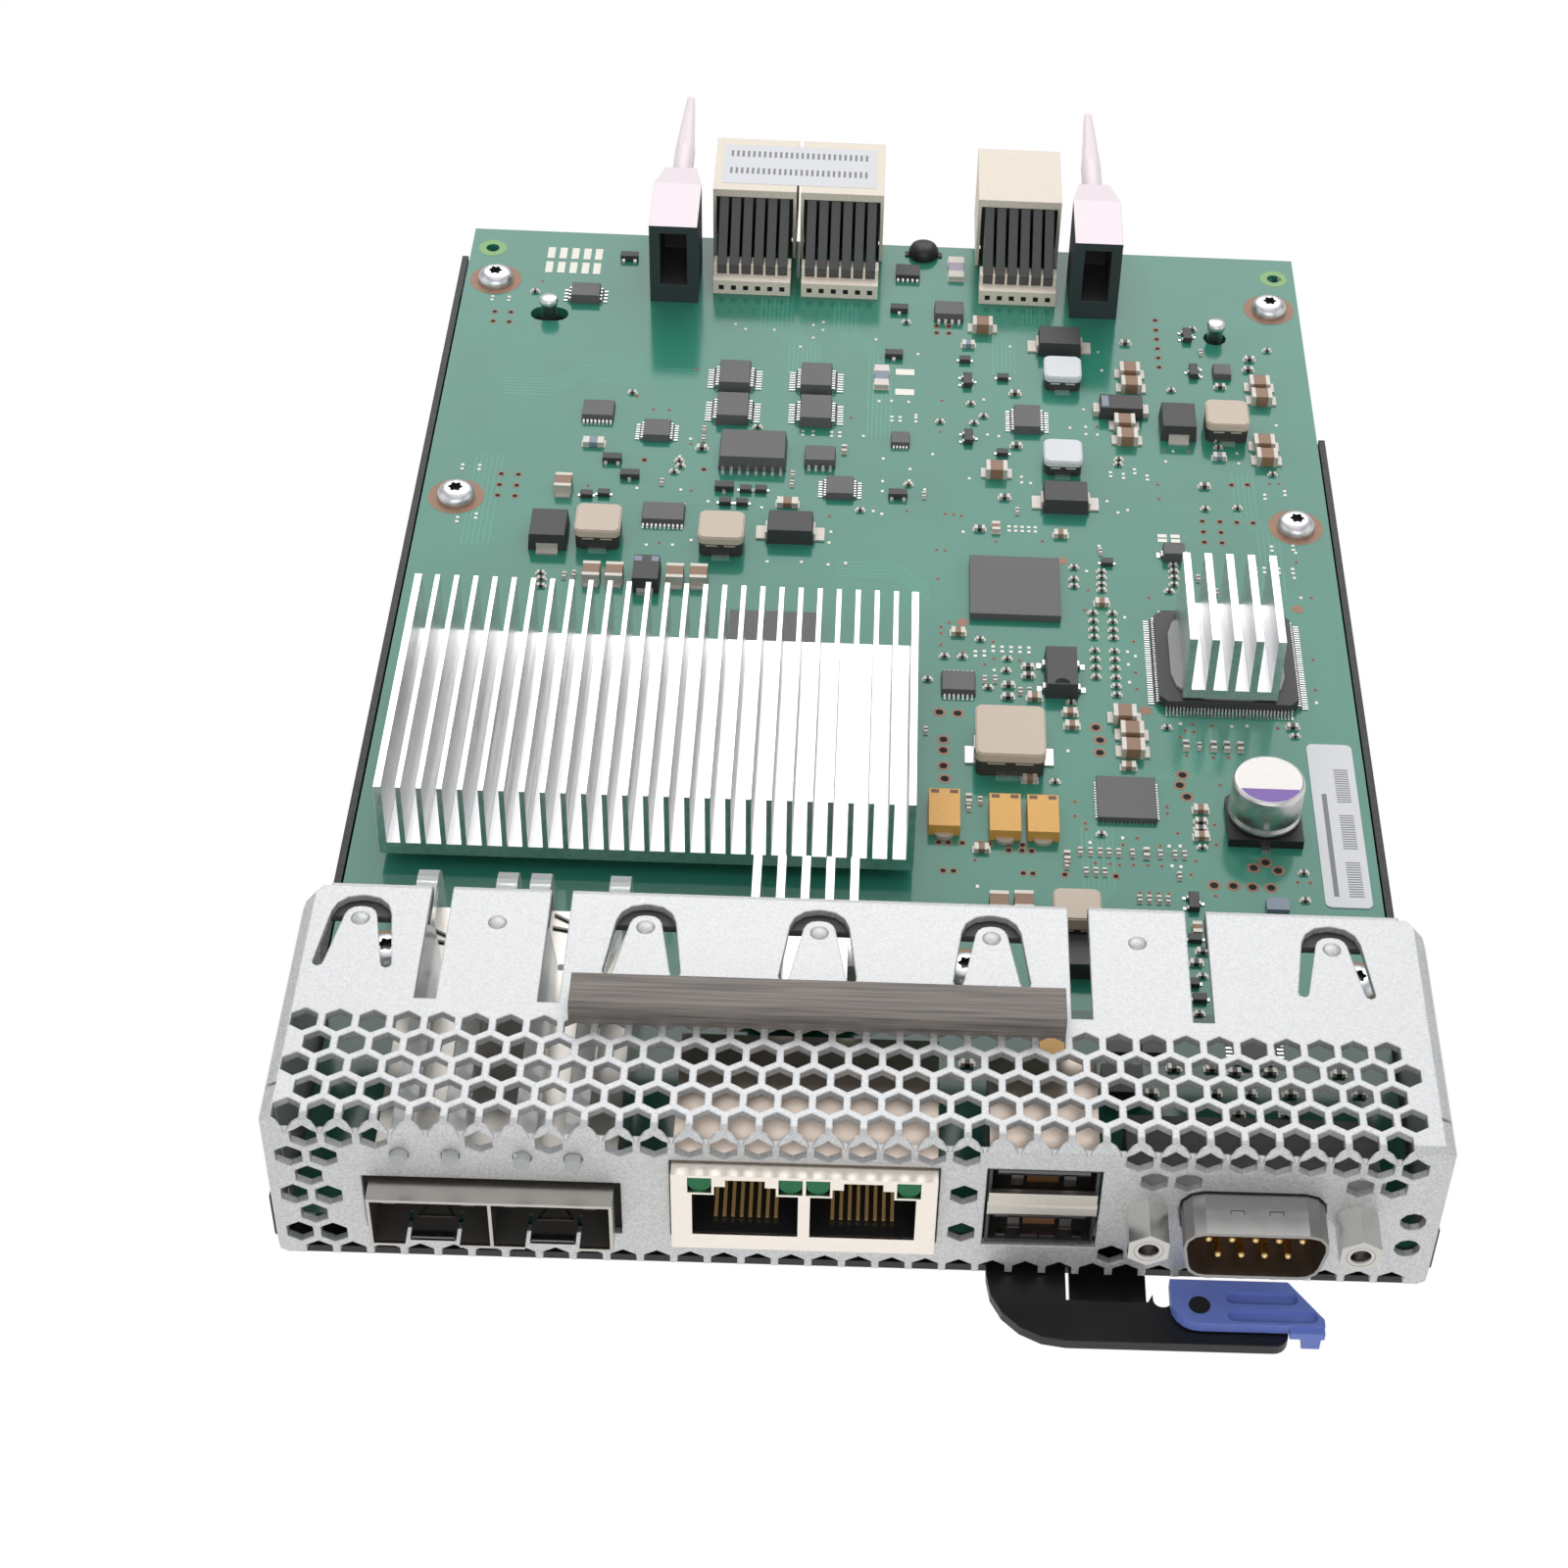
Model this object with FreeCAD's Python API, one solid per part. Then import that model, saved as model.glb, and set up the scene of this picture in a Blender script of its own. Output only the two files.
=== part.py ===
import FreeCAD, Part
import math
import os

# Input and output card for a server: a circuit board screwed into a black steel tray,
# behind a folded and perforated faceplate, with an ejector lever under the front edge.
# Millimetres. X runs to the right seen from the faceplate, Y runs from the faceplate to the
# backplane connectors and Z runs up. Y values below are distances from the faceplate's front.
# The origin is the middle of the tray's underside.

V = FreeCAD.Vector

# Flat steps that stand for round shapes: folds, small corners, long curves and small round bars
FOLD_STEPS = 2
BEND_STEPS = 1
ROUND_STEPS = 3
CURVE_STEPS = 5
SMALL_SIDES = 6
MANY_SIDES = 10

# Levels, from the tray's underside upwards
TRAY_FLOOR = 1.2
LEVER_GAP = 0.3
LEVER_THICKNESS = 1.5
PLATE_OVER_LEVER = 0.4
PLATE_HEIGHT = 24.1
BOARD_UNDER_PLATE = 18.6
BOARD_THICKNESS = 1.8
LEVER_BOTTOM = TRAY_FLOOR + LEVER_GAP
LEVER_TOP = LEVER_BOTTOM + LEVER_THICKNESS
PLATE_BOTTOM = LEVER_TOP + PLATE_OVER_LEVER
PLATE_TOP = PLATE_BOTTOM + PLATE_HEIGHT
BOARD_TOP = PLATE_TOP - BOARD_UNDER_PLATE
BOARD_BOTTOM = BOARD_TOP - BOARD_THICKNESS

# Faceplate sheet
SHEET = 1.0
PLATE_WIDTH = 139.0
PLATE_DEPTH = 39.0
FOLD_RADIUS = 1.5
RETURN_DEPTH = 5.4
RELIEF_WIDTH = 0.5
FLAP_DROP = 1.4
CORNER_CUT_X = 3.2
CORNER_CUT_Y = 4.2
HEM_LENGTH = 5.0
HEM_GAP = 0.3
SLOT_WIDTH = 2.6
SLOT_FRONT = 19.6
PIPE_SLOT_OFFSETS = (-9.5, 5.2)
GASKET_SLOT_GAP = 0.8
SERIAL_SLOT_OFFSET = -5.7
LEFT_TONGUE_INSET = 7.5
RIGHT_TONGUE_INSET = 12.1
CAGE_TONGUE_OFFSET = 15.9
JACK_TONGUE_OFFSET = 0.55
USB_TONGUE_OFFSET = -6.3
TONGUE_BASE_Y = 25.0
TONGUE_TIP_Y = 34.5
TONGUE_TIP_RADIUS = 1.7
TONGUE_BASE_HALF = 3.45
TONGUE_SLOT = 1.3
TONGUE_TIP_SLOT = 1.9

# Honeycomb of hexagonal vent holes
HEX_PITCH = 4.03
HEX_FLATS = 3.15
HEX_INSET = 3.2
HEX_FIRST_X = HEX_INSET - PLATE_WIDTH / 2
HEX_COLUMNS = int((PLATE_WIDTH - 2 * HEX_INSET) / HEX_PITCH) + 1
HEX_TOP_ROWS = 5
HEX_FIRST_Y = 1.75
HEX_FIRST_DROP = 2.78
HEX_ROW = HEX_PITCH * math.sqrt(3) / 2
PORT_MARGIN = 0.3
ROUND_VENT_RADIUS = 1.6
ROUND_VENT_INSET = 3.7
ROUND_VENT_X = PLATE_WIDTH / 2 - ROUND_VENT_INSET
ROUND_VENT_DROPS = (12.3, 17.3)

# Tray
TRAY_WALL = 1.0
TRAY_WIDTH = PLATE_WIDTH + 2 * TRAY_WALL
TRAY_FRONT = 4.0
TRAY_LIP_FRONT = 2.7
TRAY_RIGHT_END = 162.0
TRAY_WALL_UNDER_BOARD = 0.2
TRAY_BEND = 1.6

# Circuit board outline
BOARD_FRONT = 1.6
BOARD_REAR = 212.0
BOARD_OVERHANG = 8.0
TRAY_REAR = BOARD_REAR - BOARD_OVERHANG
ORIGIN_Y = (TRAY_FRONT + TRAY_REAR) / 2
BOARD_SIDE_GAP = 0.3
BOARD_WIDTH = PLATE_WIDTH - 2 * BOARD_SIDE_GAP
BOARD_NECK_GAP = 0.9
BOARD_NECK_WIDTH = PLATE_WIDTH - 2 * (SHEET + BOARD_NECK_GAP)
BOARD_STEP = 41.0
TOOLING_HOLE_RADIUS = 1.1
TOOLING_HOLE_SIDE_INSET = 3.5
TOOLING_HOLE_X = BOARD_WIDTH / 2 - TOOLING_HOLE_SIDE_INSET
TOOLING_HOLE_INSET = 5.6

# Screws and standoffs
SCREW_HEAD_RADIUS = 2.9
SCREW_HEAD_HEIGHT = 1.9
SCREW_RADIUS = 1.2
SCREW_LENGTH = 5.2
SCREW_HOLE_GAP = 0.4
THREAD_GAP = 0.05
STANDOFF_FLATS = 5.5
REAR_SCREW_INSET = 14.8
REAR_SCREW_SIDE_INSET = 5.0
REAR_SCREW_X = BOARD_WIDTH / 2 - REAR_SCREW_SIDE_INSET
MID_SCREW_Y = 139.3
MID_SCREW_SIDE_INSET = 5.2
MID_SCREW_X = BOARD_WIDTH / 2 - MID_SCREW_SIDE_INSET
FRONT_SCREW_Y = 44.0
FRONT_SCREW_X = 13.1
FRONT_SCREW_SIDE_INSET = 5.1
CAGE_SCREW_GAP = 1.4
STUD_RADIUS = 1.3
STUD_HEAD_RADIUS = 1.5
STUD_HEAD_HEIGHT = 1.2
STUD_RISE = 3.3
STUD_INSETS = ((14.7, 24.0), (14.6, 23.6))
STUD_HOLE_GAP = 0.4
STUD_SLOT_LENGTHS = (2.4, 0.0)

# Conductive gasket on the flange
GASKET_LEFT = -35.2
GASKET_RIGHT = 24.0
GASKET_FRONT = 16.4
GASKET_DEPTH = 6.0
GASKET_HEIGHT = 3.0
GASKET_ROUND = 1.0

# Pluggable module cage with two ports
CAGE_WIDTH = 28.6
CAGE_SIDE_GAP = 11.1
CAGE_X = SHEET + CAGE_SIDE_GAP + (CAGE_WIDTH - PLATE_WIDTH) / 2
CAGE_HEIGHT = 8.4
CAGE_FRONT = -3.0
CAGE_REAR = 44.6
CAGE_WALL = 0.4
CAGE_TAB_WIDTH = 5.4
CAGE_TAB_SLIT = 0.5
CAGE_TAB_LENGTH = 5.0
CAGE_TAB_SET_BACK = 0.9
CAGE_SOCKET_Y = 33.0
CAGE_CUTOUT_MARGIN = 0.8
CAGE_SEAL_DEPTH = 2.0
CAGE_SEAL_BORDER = 1.8
SOCKET_WIDTH = 11.8
SOCKET_DEPTH = 8.0
SOCKET_HEIGHT = 5.4
SOCKET_SLOT = 1.4

# Light pipes over the cage
PIPE_PAIR_OFFSETS = (-7.4, 6.8)
PIPE_FRONT_HALF = 2.95
PIPE_REAR_HALF = 5.0
PIPE_DROP = 5.3
PIPE_TIP_RADIUS = 1.0
PIPE_TIP_REACH = 1.1
PIPE_HOLE_GAP = 0.15
PIPE_VENT_WEB = 0.9
PIPE_WIDTH = 2.6
PIPE_HEIGHT = 2.2
PIPE_REAR = 47.2
PIPE_ELBOW = 3.0
PIPE_JOG_START = 30.0
PIPE_JOG_END = 38.0
LED_HEIGHT = 0.8
LED_GAP = 0.2

# Twin network jack
JACK_WIDTH = 31.1
JACK_HEIGHT = 13.4
JACK_FRONT = -2.0
JACK_REAR = 20.0
JACK_SHELL = 0.4
JACK_PORT_PITCH = 13.8
JACK_PORT_WIDTH = 12.4
JACK_PORT_BOTTOM = 2.6
JACK_PORT_HEIGHT = 7.4
JACK_STEP_WIDTH = 7.2
JACK_STEP_HEIGHT = 1.5
JACK_NOTCH_WIDTH = 4.6
JACK_NOTCH_HEIGHT = 1.2
JACK_PORT_DEPTH = 14.0
JACK_LAMP_WEB = 0.35
JACK_LAMP_SPACING = 0.5
JACK_LAMP_WIDTH = (JACK_PORT_PITCH - JACK_STEP_WIDTH - JACK_LAMP_SPACING) / 2 - JACK_LAMP_WEB
JACK_LAMP_HEIGHT = 2.6
JACK_LAMP_OFFSET = (JACK_STEP_WIDTH + JACK_LAMP_WIDTH) / 2 + JACK_LAMP_WEB
JACK_LAMP_DEPTH = 3.0
JACK_LAMP_RECESS = 0.3
JACK_LAMP_GAP = 0.05
JACK_CONTACT_PITCH = 1.016
JACK_CONTACT = 0.4
JACK_CONTACTS = 8
JACK_CONTACT_START = 2.6
JACK_CONTACT_FOOT = 0.2
JACK_CONTACT_CLIMB = 1.8

# Stacked serial bus sockets
USB_WIDTH = 13.0
USB_HEIGHT = 13.6
USB_FRONT = 0.4
USB_REAR = 18.0
USB_SHELL = 0.4
USB_BAND = 3.0
USB_BAND_REACH = 0.8
USB_BAND_INSET = 0.3
USB_TONGUE_WIDTH = 11.0
USB_TONGUE_THICKNESS = 1.8
USB_TONGUE_DROP = 0.5
USB_TONGUE_SET_BACK = 1.2
USB_ROOT = 3.0
USB_CONTACT_WIDTH = 1.0
USB_CONTACT_THICKNESS = 0.3
USB_CONTACT_LENGTH = 7.0
USB_CONTACT_PLACES = (-3.5, -1.0, 1.0, 3.5)

# Nine-pin serial port
SERIAL_RISE = 6.5
SERIAL_WIDTH = 18.2
SERIAL_HEIGHT = 8.3
SERIAL_SLOPE = 10.0
SERIAL_CORNER = 2.6
SERIAL_REACH = 6.0
SERIAL_SHELL = 0.5
SERIAL_FLANGE_WIDTH = 30.8
SERIAL_FLANGE_HEIGHT = 12.2
SERIAL_FLANGE = 0.8
SERIAL_FACE = 0.5
SERIAL_BODY_DEPTH = 9.0
SERIAL_BODY_WIDTH = 30.0
SERIAL_PIN_PITCH = 2.77
SERIAL_PIN_ROWS = 2.84
SERIAL_PIN_RADIUS = 0.5
SERIAL_PIN_REACH = 5.0
NUT_SPACING = 24.99
NUT_FLATS = 4.75
NUT_LENGTH = 5.6
NUT_BORE_RADIUS = 1.25
NUT_BORE_DEPTH = 4.5

# Gaps from the module cage to the network jack, then to the bus sockets, the serial flange and the side
# wall. They share the width that the ports leave.
PORT_GAPS = (6.8, 6.0, 3.0, 6.6)


def port_places():
    """Middles of the jack, the bus sockets and the serial port."""
    widths = (JACK_WIDTH, USB_WIDTH, SERIAL_FLANGE_WIDTH)
    left = CAGE_X + CAGE_WIDTH / 2
    free = PLATE_WIDTH / 2 - SHEET - left - sum(widths)
    places = []
    for gap, width in zip(PORT_GAPS, widths):
        left += free * gap / sum(PORT_GAPS)
        places.append(left + width / 2)
        left += width
    return places


JACK_X, USB_X, SERIAL_X = port_places()

# Heatsinks: left edge, front edge, width, depth and fin count
BIG_SINK_INSET = 4.5
BIG_SINK_LEFT = BIG_SINK_INSET - BOARD_WIDTH / 2
BIG_SINK_FRONT = 60.4
BIG_SINK_WIDTH = 70.7
BIG_SINK_DEPTH = 43.4
BIG_SINK_BASE = 2.0
BIG_SINK_HEIGHT = 12.1
BIG_SINK_FINS = 27
BIG_FIN = 0.7
BIG_END_FIN = 1.0
MAIN_CHIP_SIDE = 31.0
MAIN_CHIP_HEIGHT = 2.0
SMALL_SINK_WIDTH = 13.6
SMALL_SINK_DEPTH = 19.2
SMALL_SINK_BASE = 1.6
SMALL_SINK_HEIGHT = 11.0
SMALL_SINK_FINS = 5
SMALL_FIN = 1.1
QUAD_INSET = 18.3
QUAD_X = BOARD_WIDTH / 2 - QUAD_INSET
QUAD_Y = 106.6
QUAD_SIDE = 20.0
QUAD_HEIGHT = 1.6
QUAD_CORNER = 1.2
GLUE_HEIGHT = 0.4
GLUE_BORDER = 1.4
GLUE_ROUND = 5.0
GLUE_SHY = 0.2
PORT_CHIP_X = -8.0
PORT_CHIP_Y = 41.9
PORT_CHIP_SIDE = 16.0

# Guide modules and backplane connectors, from the board's rear edge
GUIDE_PLACES = (-34.5, 34.6)
GUIDE_WIDTH = 7.8
GUIDE_HEIGHT = 14.6
GUIDE_FRONT_INSET = 19.3
GUIDE_OVERHANG = 1.5
GUIDE_TAPER = 8.0
GUIDE_NOSE_WIDTH = 5.0
GUIDE_NOSE_DROP = 2.0
GUIDE_POCKET_WIDTH = 4.4
GUIDE_POCKET_HEIGHT = 9.8
GUIDE_POCKET_RISE = 3.4
GUIDE_POCKET_DEPTH = 11.0
GUIDE_PIN_RISE = 9.6
GUIDE_PIN_RADIUS = 1.7
GUIDE_PIN_TIP_RADIUS = 0.7
GUIDE_PIN_STRAIGHT = 10.0
GUIDE_PIN_LENGTH = 26.5
LINK_PLACES = (-21.9, -7.4, 22.1)
LINK_WAFERS = 6
LINK_WAFER_PITCH = 2.0
LINK_WAFER_THICKNESS = 1.5
LINK_WIDTH = 12.7
LINK_FRONT_INSET = 16.3
LINK_BASE_DEPTH = 4.6
LINK_BASE_HEIGHT = 2.6
LINK_TOOTH_HEIGHT = 1.7
LINK_TOOTH_DEPTH = 2.6
LINK_HEIGHT = 13.0
LINK_HOUSING_INSET = 5.2
LINK_HOUSING_DEPTH = 15.8
LINK_HOUSING_WALL = 1.1
LINK_HOUSING_DROP = 1.4
LINK_TAIL_DEPTH = 6.0
LINK_SLACK = 0.05

# Electronic packages on the board
CAN_LABEL_GAP = 2.15
CAN_Y = 74.2
CAN_RADIUS = 5.0
CAN_HEIGHT = 8.0
CAN_BASE_SIDE = 10.3
CAN_BASE_HEIGHT = 1.4
CAN_BASE_CHAMFER = 2.0
BALL_CHIP = (20.6, 121.6, 13.4, 13.4, 1.2)
FLAT_CHIP = (35.4, 77.2, 8.2, 8.2, 0.9)
REAR_CHIP = (-14.6, 110.4, 13.0, 6.6, 1.2)
ISOLATOR = (27.0, 102.4, 4.8, 8.6, 2.6)
BIG_CHOKE = (19.3, 86.6, 9.8, 10.4, 4.2)
FRONT_CHOKE = (27.5, 52.0, 6.3, 5.8, 5.4)
CHOKE_PLACES = ((-41.7, 131.1), (-23.3, 130.5), (54.7, 163.4))
CHOKE_SIZE = (6.8, 6.7, 3.6)
CHOKE_ROUND = 1.0
WHITE_CHOKE_PLACES = ((29.0, 175.0), (28.5, 152.9))
WHITE_CHOKE_SIZE = (6.0, 6.0, 2.8)
WHITE_CHOKE_ROUND = 1.4
DIODE_PLACES = ((-13.1, 133.3), (28.8, 184.1), (28.7, 143.1))
DIODE_SIZE = (7.0, 5.2, 2.5)
UPRIGHT_DIODE_PLACES = ((-49.1, 130.5), (47.1, 163.3))
UPRIGHT_DIODE_SIZE = (5.7, 6.6, 2.8)
TANTALUM_PLACES = ((10.2, 73.0), (18.5, 72.4), (23.7, 72.4))
TANTALUM_SIZE = (4.3, 7.3, 1.9)
DARK_TANTALUMS = ((-33.9, 121.1, 4.1, 5.8, 2.6), (38.2, 167.0, 7.0, 3.9, 2.2))
WIDE_CERAMIC_PLACES = ((40.0, 177.2), (40.1, 173.4), (38.6, 163.2), (38.9, 159.5), (60.9, 174.9),
                       (61.0, 171.4), (60.5, 159.2), (60.7, 155.6), (16.3, 188.4), (18.2, 149.8),
                       (35.8, 94.2), (36.7, 90.7), (36.7, 87.2))
WIDE_CERAMIC_SIZE = (3.2, 2.5, 1.8)
TALL_CERAMIC_PLACES = ((-42.0, 121.3), (-38.6, 121.3), (-29.7, 121.5), (-26.2, 121.6), (-48.0, 142.2),
                       (17.5, 55.8), (20.8, 56.0))
TALL_CERAMIC_SIZE = (2.5, 3.2, 1.8)
BRIDGE_PLACES = ((-23.4, 171.7), (-10.4, 171.8), (-23.3, 163.0), (-10.2, 163.2))
BRIDGE_SIZE = (5.2, 6.4, 1.8)
WIDE_CHIP = (-19.6, 152.1, 10.5, 7.5, 2.4)
SMALL_CHIPS = ((-9.2, 151.6, 4.9, 3.9, 1.5), (-44.3, 161.5, 5.1, 4.2, 1.2), (-34.8, 157.0, 4.4, 4.4, 1.2),
               (-32.4, 136.3, 6.5, 4.4, 1.1), (-5.9, 144.2, 4.4, 4.6, 1.2), (3.2, 157.2, 3.0, 3.0, 0.9),
               (23.2, 163.4, 4.4, 6.0, 1.4), (12.2, 100.1, 5.0, 4.4, 1.1), (55.1, 178.4, 3.0, 3.0, 1.1),
               (-49.0, 193.3, 4.9, 3.9, 1.5), (10.8, 192.1, 4.9, 3.9, 1.5), (44.8, 131.2, 3.4, 2.8, 1.6))
LABEL_INSET = 1.4
LABEL_Y = 74.1
LABEL_WIDTH = 6.4
LABEL_X = (BOARD_WIDTH - LABEL_WIDTH) / 2 - LABEL_INSET
CAN_X = LABEL_X - (LABEL_WIDTH + CAN_BASE_SIDE) / 2 - CAN_LABEL_GAP
LABEL_LENGTH = 32.2
LABEL_THICKNESS = 0.15
LABEL_ROUND = 1.2

# Ejector lever and its latch
PIVOT_X = 20.5
PIVOT_Y = 15.0
PIVOT_RADIUS = 2.5
PIVOT_GAP = 0.05
PIVOT_HEAD_RADIUS = 4.2
PIVOT_HEAD_HEIGHT = 0.9
PIVOT_HEAD_GAP = 0.3
LEVER_EYE_RADIUS = 7.0
ARM_LEFT = 15.7
ARM_RIGHT = 25.3
LEVER_REACH = 9.6
LEVER_CURVE = 9.5
LEVER_END = 51.8
LEVER_END_ROUND = 1.8
RECESS_Y = -3.6
NOTCH_LEFT = 35.8
NOTCH_RIGHT = 38.1
NOTCH_END = -4.3
HANDLE_REAR = -1.0
TAB_REACH = 3.4
TAB_GAP = 0.6
LATCH_GAP = 0.3
LATCH_THICKNESS = 1.6
LATCH_LEFT = 37.7
LATCH_RIGHT = 56.0
LATCH_REAR = -1.5
LATCH_FRONT = -7.9
LATCH_ROUND = 3.4
LATCH_SLANT_X = 4.0
LATCH_SLANT_Y = 5.4
LATCH_PIN_X = 41.1
LATCH_PIN_Y = -5.2
LATCH_PIN_RADIUS = 1.25
LATCH_HOOK_WIDTH = 2.2
LATCH_HOOK_FRONT = -8.7
LATCH_HOOK_GAP = 1.6
LATCH_HOOK_ROOT = 4.2
GROOVE_WIDTH = 1.7
GROOVE_DEPTH = 0.5
GROOVE_LEFT = 44.4
GROOVE_ROWS = ((-4.0, 53.0), (-6.6, 55.2))


# Basic solids
def box(x0, x1, y0, y1, z0, z1):
    """Block between two corners."""
    return Part.makeBox(x1 - x0, y1 - y0, z1 - z0, V(x0, y0, z0))


def block(x, y, width, depth, z0, z1):
    """Block centred on a point of the plan."""
    return box(x - width / 2, x + width / 2, y - depth / 2, y + depth / 2, z0, z1)


def post(x, y, radius, z0, z1):
    """Upright round bar."""
    return Part.makeCylinder(radius, z1 - z0, V(x, y, z0))


def bar(x, z, radius, y0, y1):
    """Round bar that runs from front to rear."""
    return Part.makeCylinder(radius, y1 - y0, V(x, y0, z), V(0, 1, 0))


def prism(points, direction):
    """Solid swept from a closed outline of straight edges."""
    outline = Part.makePolygon([V(*p) for p in points] + [V(*points[0])])
    return Part.Face(outline).extrude(V(*direction))


def hexagon(centre, flats, direction, upright):
    """Hexagonal prism with two flats facing sideways; its points lie along the upright axis."""
    corner = flats / math.sqrt(3)
    points = []
    for k in range(6):
        turn = math.pi / 6 + k * math.pi / 3
        side = corner * math.cos(turn)
        rise = corner * math.sin(turn)
        points.append((centre[0] + side, centre[1] + rise * upright[1], centre[2] + rise * upright[2]))
    return prism(points, direction)


def many_sided(x, y, radius, z0, z1, sides):
    """Upright bar with flat sides, for small round pieces."""
    points = []
    for k in range(sides):
        turn = 2 * math.pi * (k + 0.5) / sides
        points.append((x + radius * math.cos(turn), y + radius * math.sin(turn), z0))
    return prism(points, (0, 0, z1 - z0))


def many_sided_bar(x, z, radius, y0, y1, sides):
    """Bar with flat sides that runs from front to rear."""
    points = []
    for k in range(sides):
        turn = 2 * math.pi * (k + 0.5) / sides
        points.append((x + radius * math.cos(turn), y0, z + radius * math.sin(turn)))
    return prism(points, (0, y1 - y0, 0))


def soften(corners, steps):
    """Outline whose corners (across, up, radius) are rounded in short straight steps."""
    points = []
    for k, (u, v, radius) in enumerate(corners):
        if radius <= 0:
            points.append((u, v))
            continue
        after = corners[(k + 1) % len(corners)]
        back = V(corners[k - 1][0] - u, corners[k - 1][1] - v, 0).normalize()
        ahead = V(after[0] - u, after[1] - v, 0).normalize()
        half_angle = back.getAngle(ahead) / 2
        inward = (back + ahead).normalize()
        centre = V(u, v, 0) + inward * (radius / math.sin(half_angle))
        swing = math.pi / 2 - half_angle
        turn = 1 if back.cross(ahead).z < 0 else -1
        middle = math.atan2(-inward.y, -inward.x)
        for step in range(steps + 1):
            angle = middle + turn * swing * (2 * step / steps - 1)
            points.append((centre.x + radius * math.cos(angle), centre.y + radius * math.sin(angle)))
    return [p for k, p in enumerate(points) if math.dist(p, points[k - 1]) > 1e-6]


def sweep_x(outline, x0, x1):
    """Solid from an outline in Y and Z."""
    return prism([(x0, y, z) for y, z in outline], (x1 - x0, 0, 0))


def sweep_y(outline, y0, y1):
    """Solid from an outline in X and Z."""
    return prism([(x, y0, z) for x, z in outline], (0, y1 - y0, 0))


def sweep_z(outline, z0, z1):
    """Solid from an outline in X and Y."""
    return prism([(x, y, z0) for x, y in outline], (0, 0, z1 - z0))


def soft_block(x, y, width, depth, z0, z1, radius, steps):
    """Block whose upright edges are rounded in short straight steps."""
    right = x + width / 2
    rear = y + depth / 2
    corners = [(right - width, rear - depth, radius), (right, rear - depth, radius), (right, rear, radius),
               (right - width, rear, radius)]
    return sweep_z(soften(corners, steps), z0, z1)


def group(shapes):
    return Part.makeCompound(shapes)


def save(name, shape):
    """Write one piece, moved so that the origin lies in the middle of the tray's underside."""
    moved = shape.copy()
    moved.translate(V(0, -ORIGIN_Y, 0))
    moved.exportStep("parts/" + name + ".step")


# Faceplate
def folded_sheet():
    """Folded top, front and sides as one sheet with rounded folds."""
    half = PLATE_WIDTH / 2
    bottom = PLATE_BOTTOM - FLAP_DROP
    outer = folded_block(half, 0, PLATE_DEPTH + SHEET, bottom, PLATE_TOP, FOLD_RADIUS)
    inner = box(SHEET - half, half - SHEET, SHEET, PLATE_DEPTH + 2 * SHEET, bottom - SHEET, PLATE_TOP - SHEET)
    sheet = outer.cut(inner)
    behind = box(-half - 1, half + 1, PLATE_DEPTH - hem_radius(), PLATE_DEPTH + 2 * SHEET,
                 bottom - 1, PLATE_TOP + 1)
    return sheet.cut(behind)


def folded_block(half, front, rear, bottom, top, radius):
    """Block with rounded upright front corners and rounded top edges, square at the rear and below."""
    side = [(front, bottom, 0), (rear, bottom, 0), (rear, top, 0), (front, top, radius)]
    face = [(-half, bottom, 0), (half, bottom, 0), (half, top, radius), (-half, top, radius)]
    plan = [(-half, front, radius), (half, front, radius), (half, rear, 0), (-half, rear, 0)]
    solid = sweep_x(soften(side, FOLD_STEPS), -half, half)
    solid = solid.common(sweep_y(soften(face, FOLD_STEPS), front, rear))
    return solid.common(sweep_z(soften(plan, FOLD_STEPS), bottom, top))


def hem_radius():
    return SHEET + HEM_GAP / 2


def hem():
    """Closed hem: the rear edge of the top flange folded back under itself."""
    outer = hem_radius()
    inner = HEM_GAP / 2
    bend_y = PLATE_DEPTH - outer
    mid_z = PLATE_TOP - outer
    front_y = PLATE_DEPTH - HEM_LENGTH
    half = PLATE_WIDTH / 2 - CORNER_CUT_X
    inner_y = bend_y + inner
    corners = [(PLATE_DEPTH, PLATE_TOP, outer), (PLATE_DEPTH, mid_z - outer, outer),
               (front_y, mid_z - outer, 0), (front_y, mid_z - inner, 0), (inner_y, mid_z - inner, 0),
               (inner_y, mid_z + inner, 0), (bend_y, mid_z + inner, 0), (bend_y, PLATE_TOP, 0)]
    return sweep_x(soften(corners, FOLD_STEPS), -half, half)


def tongue_slot(x):
    """U-shaped slot that frees one spring tongue, cut through the top sheet only."""
    low = PLATE_TOP - SHEET
    high = PLATE_TOP + SHEET
    tip = TONGUE_TIP_RADIUS
    wide = tip + (TONGUE_SLOT + TONGUE_TIP_SLOT) / 2
    leg = TONGUE_BASE_HALF + TONGUE_SLOT
    top_y = TONGUE_TIP_Y + TONGUE_TIP_SLOT
    outer = [(x - leg, TONGUE_BASE_Y, 0), (x + leg, TONGUE_BASE_Y, 0),
             (x + wide, top_y, wide), (x - wide, top_y, wide)]
    tongue = [(x - TONGUE_BASE_HALF, TONGUE_BASE_Y, 0), (x + TONGUE_BASE_HALF, TONGUE_BASE_Y, 0),
              (x + tip, TONGUE_TIP_Y, tip), (x - tip, TONGUE_TIP_Y, tip)]
    slot = sweep_z(soften(outer, ROUND_STEPS), low, high)
    slot = slot.cut(sweep_z(soften(tongue, ROUND_STEPS), low, high))
    ends = []
    for side in (-1, 1):
        end_x = x + side * (TONGUE_BASE_HALF + TONGUE_SLOT / 2)
        ends.append(many_sided(end_x, TONGUE_BASE_Y, TONGUE_SLOT / 2, low, high, SMALL_SIDES))
    return slot.fuse(ends)


def hex_x(row, column):
    shift = HEX_PITCH / 2 if row % 2 else 0
    return HEX_FIRST_X + column * HEX_PITCH + shift


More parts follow.
